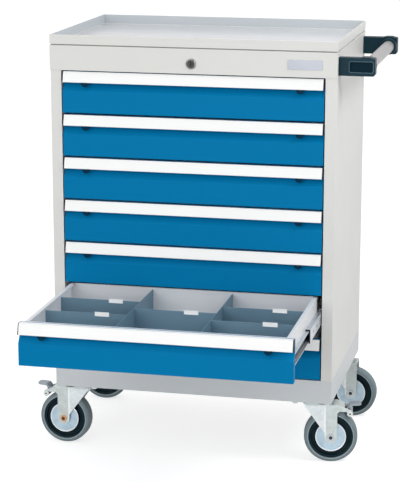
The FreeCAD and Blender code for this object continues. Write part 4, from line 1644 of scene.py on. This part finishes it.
@dataclass
class OpenDrawerInserts:
    """Dividers of the open drawer and the label holders on them."""

    node: str = "drawer_6_label_holders"
    lip: float = 0.0004
    rim: float = 0.0011
    sheet_round: float = 0.0003

    def holder_mesh(self, low: Vector, high: Vector) -> bpy.types.Mesh:
        """One label holder: a rim with the card set back in it.

        Args:
            low: Lowest corner.
            high: Highest corner.

        Returns:
            The mesh, with the card as its second finish.
        """
        work = bmesh.new()
        bmesh.ops.create_cube(work, size=1.0)
        for corner in work.verts:
            corner.co = Vector([low[a] if corner.co[a] < 0 else high[a] for a in range(3)])
        front = min(work.faces, key=lambda face: face.calc_center_median().y)
        bmesh.ops.inset_region(work, faces=[front], thickness=self.rim, depth=0.0)
        bmesh.ops.inset_region(work, faces=[front], thickness=0.0002, depth=-self.lip)
        front.material_index = 1
        bmesh.ops.recalc_face_normals(work, faces=work.faces)
        return mesh_of(work, "holder")

    def build(self) -> int:
        """Build the inserts.

        Returns:
            Number of pieces.
        """
        set_name = "drawer_6_divider_set"
        soften("drawer_6_dividers", set_name, DIVIDER, "drawer_6", self.sheet_round)
        work = fetch_node_mesh(self.node)
        meshes = [self.holder_mesh(*span(part)) for part in loose_parts(work)]
        work.free()
        mesh = join_meshes("holders", meshes)
        settle(mesh, "drawer_6_labels", [LABEL_RIM, LABEL_CARD], "drawer_6", [self.node])
        return 2


def mirrored(half: Outline) -> Outline:
    """Close an outline with its own mirror image across the wheel's middle."""
    return half + [(radius, -place) for radius, place in reversed(half)]


@dataclass
class Caster:
    """One swivel caster: fork, axle, thread guards, wheel centre and tyre."""

    name: str
    x: float
    y: float
    turn: float
    axle_finish: Finish = ROD
    braked: bool = False
    trail: float = 0.042
    axle: float = 0.0625
    fork_low: float = 0.12
    fork_shoulder: float = 0.1385
    fork_round: float = 0.0007
    leg_slope: float = 0.8
    bend_from: float = 0.0255
    bend_to: float = 0.0300
    bend_foot: float = 0.01
    guard_reach: float = 0.0365
    leg_face: float = 0.0195
    guard_lines: tuple[float, float] = (0.0336, 0.0356)
    tyre_lines: tuple[float, float] = (0.0528, 0.0545)
    tab_corner: float = 0.009
    tab_sheet: float = 0.005
    tab_zone: float = 0.004
    tab_skew: float = 0.001
    pedal_round: float = 0.0008
    shade_slope: float = 0.6
    pin_reach: float = 0.086
    pin_height: float = 0.121
    pin_face: float = 0.0222
    axle_reach: float = 0.026
    nut_corner: float = 0.0084
    nut_from: float = 0.0220
    nut_to: float = 0.0248
    nut_bore: float = 0.0046

    def corner(self) -> Matrix:
        """Where the swivel's axis meets the floor, with the caster's length along X before."""
        return Matrix.Translation((self.x, self.y, 0.0)) @ Matrix.Rotation(math.radians(self.turn), 4, "Z")

    def place(self) -> Matrix:
        """Where the wheel's centre is, with the axle along Y before."""
        return self.corner() @ Matrix.Translation((self.trail, 0.0, self.axle))

    def fork_mesh(self, node: str) -> bpy.types.Mesh:
        """Fork with its edges rounded, a painted highlight along its bend, and its leading facet painted lighter as
        if lit.

        Args:
            node: The fork's CAD node.

        Returns:
            The mesh, with the bend and the facet as second and third finish.
        """
        work = fetch_node_mesh(node)
        self.drop_guards(work)
        keep_parts(work, lambda low, high: high.z > self.fork_low)
        round_edges(work, self.fork_round)
        turned = Matrix.Rotation(math.radians(self.turn), 4, "Z")
        along = turned @ Vector((1.0, 0.0, 0.0))
        pin = Vector((self.x, self.y, 0.0))
        for reach in (self.bend_from, self.bend_to):
            every = work.verts[:] + work.edges[:] + work.faces[:]
            bmesh.ops.bisect_plane(
                work, geom=every, dist=MERGE_REACH, plane_co=pin + along * reach, plane_no=along
            )
        back = turned.inverted()
        for face in work.faces:
            middle = back @ (face.calc_center_median() - pin)
            side = back @ face.normal
            if abs(side.y) < self.leg_slope or middle.z > self.fork_shoulder:
                continue
            # The band along the bend takes the painted highlight.
            if self.bend_from < middle.x < self.bend_to and middle.z > self.axle + self.bend_foot:
                face.material_index = 1
            # The leading facet is painted lighter, as if lit.
            elif middle.x < self.bend_from:
                face.material_index = 2
        return mesh_of(work, node)

    def drop_guards(self, work: bmesh.types.BMesh) -> None:
        """Delete the thread guards' faces, which share their bores' rims with the fork's legs.

        Args:
            work: The fork node's geometry.
        """
        back = self.place().inverted()
        drop = []
        for face in work.faces:
            corners = [back @ corner.co for corner in face.verts]
            if all(abs(c.y) < self.leg_face + 0.00005 and math.hypot(c.x, c.z) < self.guard_reach for c in corners):
                drop.append(face)
        bmesh.ops.delete(work, geom=drop, context="FACES")

    def pedal_mesh(self, node: str) -> bpy.types.Mesh:
        """Brake pedal with round corners at its tab's end and painted shade underneath.

        Args:
            node: The pedal's CAD node.

        Returns:
            The mesh, with the shade as its second finish.
        """
        work = fetch_node_mesh(node)
        back = Matrix.Rotation(math.radians(-self.turn), 4, "Z") @ Matrix.Translation((-self.x, -self.y, 0.0))
        far = max((back @ corner.co).x for corner in work.verts)
        ends = []
        for edge in work.edges:
            first, last = (back @ corner.co for corner in edge.verts)
            at_end = min(first.x, last.x) > far - self.tab_zone and abs(first.y - last.y) < self.tab_skew
            if at_end and edge.calc_length() < self.tab_sheet:
                ends.append(edge)
        bevel(work, ends, self.tab_corner, segments=6, slide=False)
        round_edges(work, self.pedal_round)
        # Faces that look down take the dark painted shade.
        for face in work.faces:
            if face.normal.z < -self.shade_slope:
                face.material_index = 1
        return mesh_of(work, node)

    def mark_rings(self, mesh: bpy.types.Mesh, limits: tuple[float, float]) -> bpy.types.Mesh:
        """Give the second finish to the faces between two radii.

        Args:
            mesh: A piece turned round the axle.
            limits: The inner and the outer radius.

        Returns:
            The same mesh.
        """
        back = self.place().inverted()
        numbers = []
        for polygon in mesh.polygons:
            middle = back @ polygon.center
            numbers.append(int(limits[0] < math.hypot(middle.x, middle.z) < limits[1]))
        mesh.polygons.foreach_set("material_index", numbers)
        return mesh

    def pin_mesh(self) -> bpy.types.Mesh:
        """Rolled ends of the brake's pin on the outer faces of the fork's ears, in the fork's painted highlight
        white.

        Returns:
            The mesh, with the hollow in painted shade as its second finish.
        """
        centre = Matrix.Translation((self.pin_reach - self.trail, 0.0, self.pin_height - self.axle))
        start = self.pin_face
        rolled = [
            (0.0022, start - 0.001), (0.0022, start + 0.0008), (0.0028, start + 0.0013),
            (0.0038, start + 0.0013), (0.0045, start + 0.0007), (0.0046, start - 0.001),
        ]
        hollow = [(0.0, start + 0.0001), (0.0023, start + 0.0001), (0.0023, start - 0.0008), (0.0, start - 0.0008)]
        meshes = []
        for side in (-1.0, 1.0):
            where = self.place() @ centre @ Matrix.Diagonal((1.0, side, 1.0, 1.0))
            meshes.append(TURNED.make(rolled, FORK_HIGHLIGHT, where, steps=24))
            meshes.append(number_all(TURNED.make(hollow, DARK_SHADE, where, closed=False, steps=24), 1))
        return join_meshes("pin_ends", meshes)

    def guard_outline(self) -> Outline:
        """Outline of a thread guard: a flat disc with a rolled rim and a raised collar."""
        return [
            (0.0062, 0.0143), (0.0350, 0.0143), (0.0358, 0.0146), (0.0360, 0.0153), (0.0357, 0.0160),
            (0.0350, 0.0163), (0.0343, 0.0160), (0.0339, 0.0155), (0.0334, 0.0154), (0.0136, 0.0154),
            (0.0120, 0.0155), (0.0106, 0.0161), (0.0100, 0.0194), (0.0062, 0.0194),
        ]

    def core_outline(self) -> Outline:
        """Outline of the wheel centre: hub, recessed web and rim, the same on both sides."""
        return mirrored([
            (0.0062, 0.0138), (0.0066, 0.0140), (0.0166, 0.0140), (0.0172, 0.0136), (0.0180, 0.0088),
            (0.0190, 0.0080), (0.0438, 0.0080), (0.0450, 0.0086), (0.0458, 0.0130), (0.0464, 0.0138),
            (0.0472, 0.0140), (0.0506, 0.0140), (0.0516, 0.0137), (0.05195, 0.0128),
        ])

    def tyre_outline(self) -> Outline:
        """Outline of the tyre: flat tread with a parting line, round shoulders and a side bead.

        Returns:
            (radius, place along the axle) of each point.
        """
        half: Outline = [
            (0.0520, 0.0155), (0.0523, 0.0160), (0.0530, 0.0160), (0.0535, 0.0155), (0.0540, 0.0155),
            (0.0545, 0.0160),
        ]
        for step in range(9):
            angle = math.radians(90 * step / 8)
            half.append((0.0555 + 0.007 * math.sin(angle), 0.009 + 0.007 * math.cos(angle)))
        half += [(0.0625, 0.0080), (0.0622, 0.0076), (0.0622, 0.0072), (0.0625, 0.0068), (0.0625, 0.0004)]
        return mirrored(half)

    def axle_meshes(self) -> list[bpy.types.Mesh]:
        """Axle with its domed ends coloured dark as painted shade, and a hexagon nut at each side.

        Returns:
            The meshes, the nuts with the second finish.
        """
        reach = self.axle_reach
        shaft = [
            (0.0, -reach), (0.0030, -reach + 0.0003), (0.0042, -reach + 0.0012), (0.0046, -reach + 0.0022),
            (0.0046, -0.0225), (0.0059, -0.0220), (0.0059, 0.0220), (0.0046, 0.0225),
            (0.0046, reach - 0.0022), (0.0042, reach - 0.0012), (0.0030, reach - 0.0003), (0.0, reach),
        ]
        meshes = [TURNED.make(shaft, DARK_SHADE, self.place(), closed=False, steps=24)]
        for side in (-1, 1):
            work = hexagon_nut(self.nut_corner, self.nut_from, self.nut_to, self.nut_bore)
            flip = Matrix.Rotation(math.pi / 2 * side, 4, "X")
            bmesh.ops.transform(work, matrix=self.place() @ flip, verts=work.verts)
            meshes.append(number_all(mesh_of(work, "nut"), 1))
        return meshes

    def build(self) -> int:
        """Build the caster.

        Returns:
            Number of pieces.
        """
        name = "caster_" + self.name
        fork, wheel = name + "_fork", name + "_wheel"
        settle(self.fork_mesh(fork), name + "_pressed_fork", [FORK, FORK_HIGHLIGHT, FORK_FACET_LIT], fork, [fork])
        guards = []
        for side in (1.0, -1.0):
            where = self.place() @ Matrix.Diagonal((1.0, side, 1.0, 1.0))
            guard = TURNED.make(self.guard_outline(), GUARD, where, steps=72)
            # The rolled rim between these radii takes the painted highlight.
            guards.append(self.mark_rings(guard, self.guard_lines))
        settle(join_meshes("guards", guards), name + "_thread_guards", [GUARD, GUARD_RIM_HIGHLIGHT], fork)
        axle = join_meshes("axle", self.axle_meshes())
        settle(axle, name + "_axle", [DARK_SHADE, self.axle_finish], fork)
        core = TURNED.make(self.core_outline(), CORE, self.place(), steps=72)
        settle(core, name + "_centre", [CORE], wheel, [wheel])
        rubber = self.mark_rings(TURNED.make(self.tyre_outline(), TYRE, self.place(), steps=96), self.tyre_lines)
        settle(rubber, name + "_rubber", [TYRE, TYRE_LINE], wheel, [name + "_tyre"])
        if not self.braked:
            return 5
        pedal = "brake_pedal_" + self.name
        settle(self.pedal_mesh(pedal), pedal + "_lever", [PEDAL, DARK_SHADE], pedal, [pedal])
        settle(self.pin_mesh(), name + "_pin_ends", [FORK_HIGHLIGHT, DARK_SHADE], fork)
        return 7


def hexagon_nut(radius: float, low: float, high: float, bore: float) -> bmesh.types.BMesh:
    """Chamfered hexagon with a bore, standing along Z.

    Args:
        radius: From the axis to a corner.
        low: Height of its foot.
        high: Height of its top.
        bore: Radius of its bore.

    Returns:
        The geometry.
    """
    work = bmesh.new()
    chamfer, face = (high - low) * NUT_CHAMFER, radius * NUT_FACE
    rings = []
    for reach, z in (
        (bore, low), (face, low), (radius, low + chamfer), (radius, high - chamfer), (face, high), (bore, high),
    ):
        ring = []
        for step in range(NUT_POINTS):
            angle = math.tau * step / NUT_POINTS
            flat = 1.0 if step % 2 == 0 else math.cos(math.pi / 6)
            if reach == bore:
                flat = 1.0
            elif reach < radius:
                flat = min(1.0, flat * radius / reach)
            ring.append(work.verts.new((reach * flat * math.cos(angle), reach * flat * math.sin(angle), z)))
        rings.append(ring)
    for near, far in zip(rings, rings[1:] + rings[:1]):
        bridge(work, near, far)
    bmesh.ops.recalc_face_normals(work, faces=work.faces)
    return work


@dataclass
class CasterMounting:
    """Top plates of the casters and the bolts and nuts that hold them."""

    plate: float = 0.003
    gusset: float = 0.002
    head: float = 0.0053
    tail: float = 0.002
    shank: float = 0.004
    centre_mark: float = 0.0008
    corner: float = 0.0072
    collar: float = 0.0079
    inset_x: float = 0.0375
    inset_y: float = 0.030
    washer: float = 0.0006
    plate_round: float = 0.0005

    def bolt_mesh(self, plate_top: float) -> bpy.types.Mesh:
        """Bolt with its washered head below and its nut above.

        Args:
            plate_top: Height where the plate meets the gusset.

        Returns:
            The mesh, standing on the Z axis.
        """
        low = plate_top - self.plate
        high = plate_top + self.gusset
        top = high + self.head + self.tail
        head = hexagon_nut(self.corner, low - self.head, low - self.washer, self.centre_mark)
        nut = hexagon_nut(self.corner, high, high + self.head, self.shank + 0.0002)
        rod = [
            (0.0, low - self.head + 0.0004), (0.0009, low - self.head + 0.0003), (0.0009, low - self.washer),
            (self.collar, low - self.washer), (self.collar, low - 0.0001), (self.shank, low - 0.0001),
            (self.shank, top - 0.0008), (self.shank - 0.0008, top), (0.0, top),
        ]
        upright = Matrix.Rotation(math.pi / 2, 4, "X")
        shaft = TURNED.make(rod, ROD, upright, closed=False, steps=16)
        return join_meshes("bolt", [mesh_of(head, "head"), mesh_of(nut, "nut"), shaft])

    def build(self, casters: Sequence[Caster]) -> int:
        """Build plates and fasteners.

        Args:
            casters: The four casters.

        Returns:
            Number of pieces.
        """
        soften("caster_plates", "caster_top_plates", FORK, "cabinet", self.plate_round)
        plate_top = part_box("caster_plates")[1].z
        points = []
        for caster in casters:
            for dx in (-self.inset_x, self.inset_x):
                for dy in (-self.inset_y, self.inset_y):
                    points.append((caster.x + dx, caster.y + dy, 0.0))
        seed = bpy.data.meshes.new("bolt_points")
        seed.from_pydata(points, [], [])
        pattern = bpy.data.objects.new("bolt_pattern", self.bolt_mesh(plate_top))
        bpy.context.scene.collection.objects.link(pattern)
        mesh = ROWS.run(seed, ROD, {"Fastener": pattern, "Turn": 1.0, "Seed": 7})
        bpy.data.objects.remove(pattern)
        settle(mesh, "caster_bolt_set", [ROD], "cabinet", ["caster_bolts"])
        return 2


@dataclass(frozen=True)
class PhotoCamera:
    """Camera at the photograph's viewing angle."""

    place: tuple[float, float, float] = (0.9155, -4.1426, 1.4609)
    tilt: float = 13.108
    swing: float = 12.87
    lens: float = 134.47
    sensor: float = 36.0

    def build(self) -> None:
        """Create the camera and make it the scene's."""
        camera = bpy.data.cameras.new("photo_camera")
        camera.sensor_width = self.sensor
        camera.lens = self.lens
        holder = bpy.data.objects.new("photo_camera", camera)
        holder.location = self.place
        holder.rotation_euler = (math.radians(90.0 - self.tilt), 0.0, math.radians(self.swing))
        bpy.context.scene.collection.objects.link(holder)
        bpy.context.scene.camera = holder


@dataclass(frozen=True)
class Softbox:
    """One square lamp that looks at the cabinet."""

    name: str
    place: tuple[float, float, float]
    size: float
    power: float

    def hang(self, target: Vector) -> None:
        """Hang the lamp and aim it.

        Args:
            target: The place it looks at.
        """
        data = bpy.data.lights.new(self.name, "AREA")
        data.shape = "SQUARE"
        data.size = self.size
        data.energy = self.power
        holder = bpy.data.objects.new(self.name, data)
        holder.location = self.place
        holder.rotation_euler = (target - Vector(self.place)).to_track_quat("-Z", "Y").to_euler()
        bpy.context.scene.collection.objects.link(holder)


@dataclass
class Studio:
    """Pale floor, plain surroundings and soft lamps."""

    floor_half: float = 12.0
    floor_tone: float = 0.56
    floor_lift: float = 0.69
    sky_top: float = 0.74
    sky_low: float = 0.60
    sky_from: float = -0.2
    lamp_target: tuple[float, float, float] = (0.0, 0.0, 0.55)
    lamps: tuple[Softbox, ...] = (
        Softbox("key_softbox", (-1.6, -4.0, 1.9), 2.2, 35.0),
        Softbox("low_softbox", (0.2, -4.2, 0.75), 1.2, 21.0),
        Softbox("right_softbox", (1.5, -0.5, 2.0), 0.8, 14.5),
    )

    def floor(self) -> None:
        """Build the floor, which the camera sees as white with the cabinet's shadow on it."""
        work = bmesh.new()
        bmesh.ops.create_grid(work, x_segments=1, y_segments=1, size=self.floor_half)
        plane = bpy.data.objects.new("studio_floor", mesh_of(work, "studio_floor"))
        bpy.context.scene.collection.objects.link(plane)
        made = bpy.data.materials.new("studio_floor")
        made.use_nodes = True
        made.node_tree.nodes.clear()
        maker = TreeMaker(made.node_tree)
        tone = (self.floor_tone, self.floor_tone, self.floor_tone, 1.0)
        matt = maker.put("ShaderNodeBsdfDiffuse", {"Color": tone})
        strength = maker.sum("MULTIPLY", maker.seen_plain(), self.floor_lift)
        glow = maker.put("ShaderNodeEmission", {"Color": WHITE_LIGHT, "Strength": strength})
        both = maker.put("ShaderNodeAddShader", {0: matt.outputs[0], 1: glow.outputs[0]})
        maker.put("ShaderNodeOutputMaterial", {"Surface": both.outputs[0]})
        plane.data.materials.append(made)

    def surroundings(self) -> None:
        """Light from all round, stronger from above, and plain white where the camera or a gloss looks."""
        world = bpy.data.worlds.new("studio_world")
        bpy.context.scene.world = world
        world.use_nodes = True
        world.node_tree.nodes.clear()
        maker = TreeMaker(world.node_tree)
        way = maker.put("ShaderNodeTexCoord").outputs["Generated"]
        up = maker.put("ShaderNodeSeparateXYZ", {0: way}).outputs["Z"]
        level = maker.ranged(up, (self.sky_from, 1.0, self.sky_low, self.sky_top))
        soft = maker.put("ShaderNodeBackground", {"Color": WHITE_LIGHT, "Strength": level})
        plain = maker.put("ShaderNodeBackground", {"Color": WHITE_LIGHT, "Strength": 1.0})
        ends = {0: maker.seen_plain(), 1: soft.outputs[0], 2: plain.outputs[0]}
        choice = maker.put("ShaderNodeMixShader", ends)
        maker.put("ShaderNodeOutputWorld", {"Surface": choice.outputs[0]})

    def build(self) -> None:
        """Build floor, surroundings and lamps, and set the plain view transform."""
        self.floor()
        self.surroundings()
        for lamp in self.lamps:
            lamp.hang(Vector(self.lamp_target))
        bpy.context.scene.view_settings.view_transform = "Standard"


def main() -> None:
    """Build camera, cabinet and studio in order, and report each."""
    logging.basicConfig(level=logging.INFO, format="%(message)s")
    PhotoCamera().build()
    LOG.info("carcass: %d pieces", Carcass().build())
    LOG.info("tray: %d piece", TopTray().build())
    LOG.info("lock and plate: %d pieces", FasciaFittings().build())
    LOG.info("handle: %d pieces", SideHandle().build())
    for number in range(1, DRAWERS + 1):
        drawer = Drawer(number, OPEN_STRIP_FALL if number == OPEN_DRAWER else SHUT_STRIP_FALL)
        LOG.info("drawer %d: %d pieces", number, drawer.build())
    LOG.info("inserts: %d pieces", OpenDrawerInserts().build())
    casters = [
        Caster("front_left", -0.280, -0.175, 176.0, BRASS, braked=True),
        Caster("front_right", 0.280, -0.175, 9.0, braked=True),
        Caster("rear_left", -0.280, 0.175, 180.0),
        Caster("rear_right", 0.280, 0.175, 0.0),
    ]
    for caster in casters:
        LOG.info("caster %s: %d pieces", caster.name, caster.build())
    LOG.info("caster mounting: %d pieces", CasterMounting().build(casters))
    Studio().build()


if __name__ == "__main__":
    main()
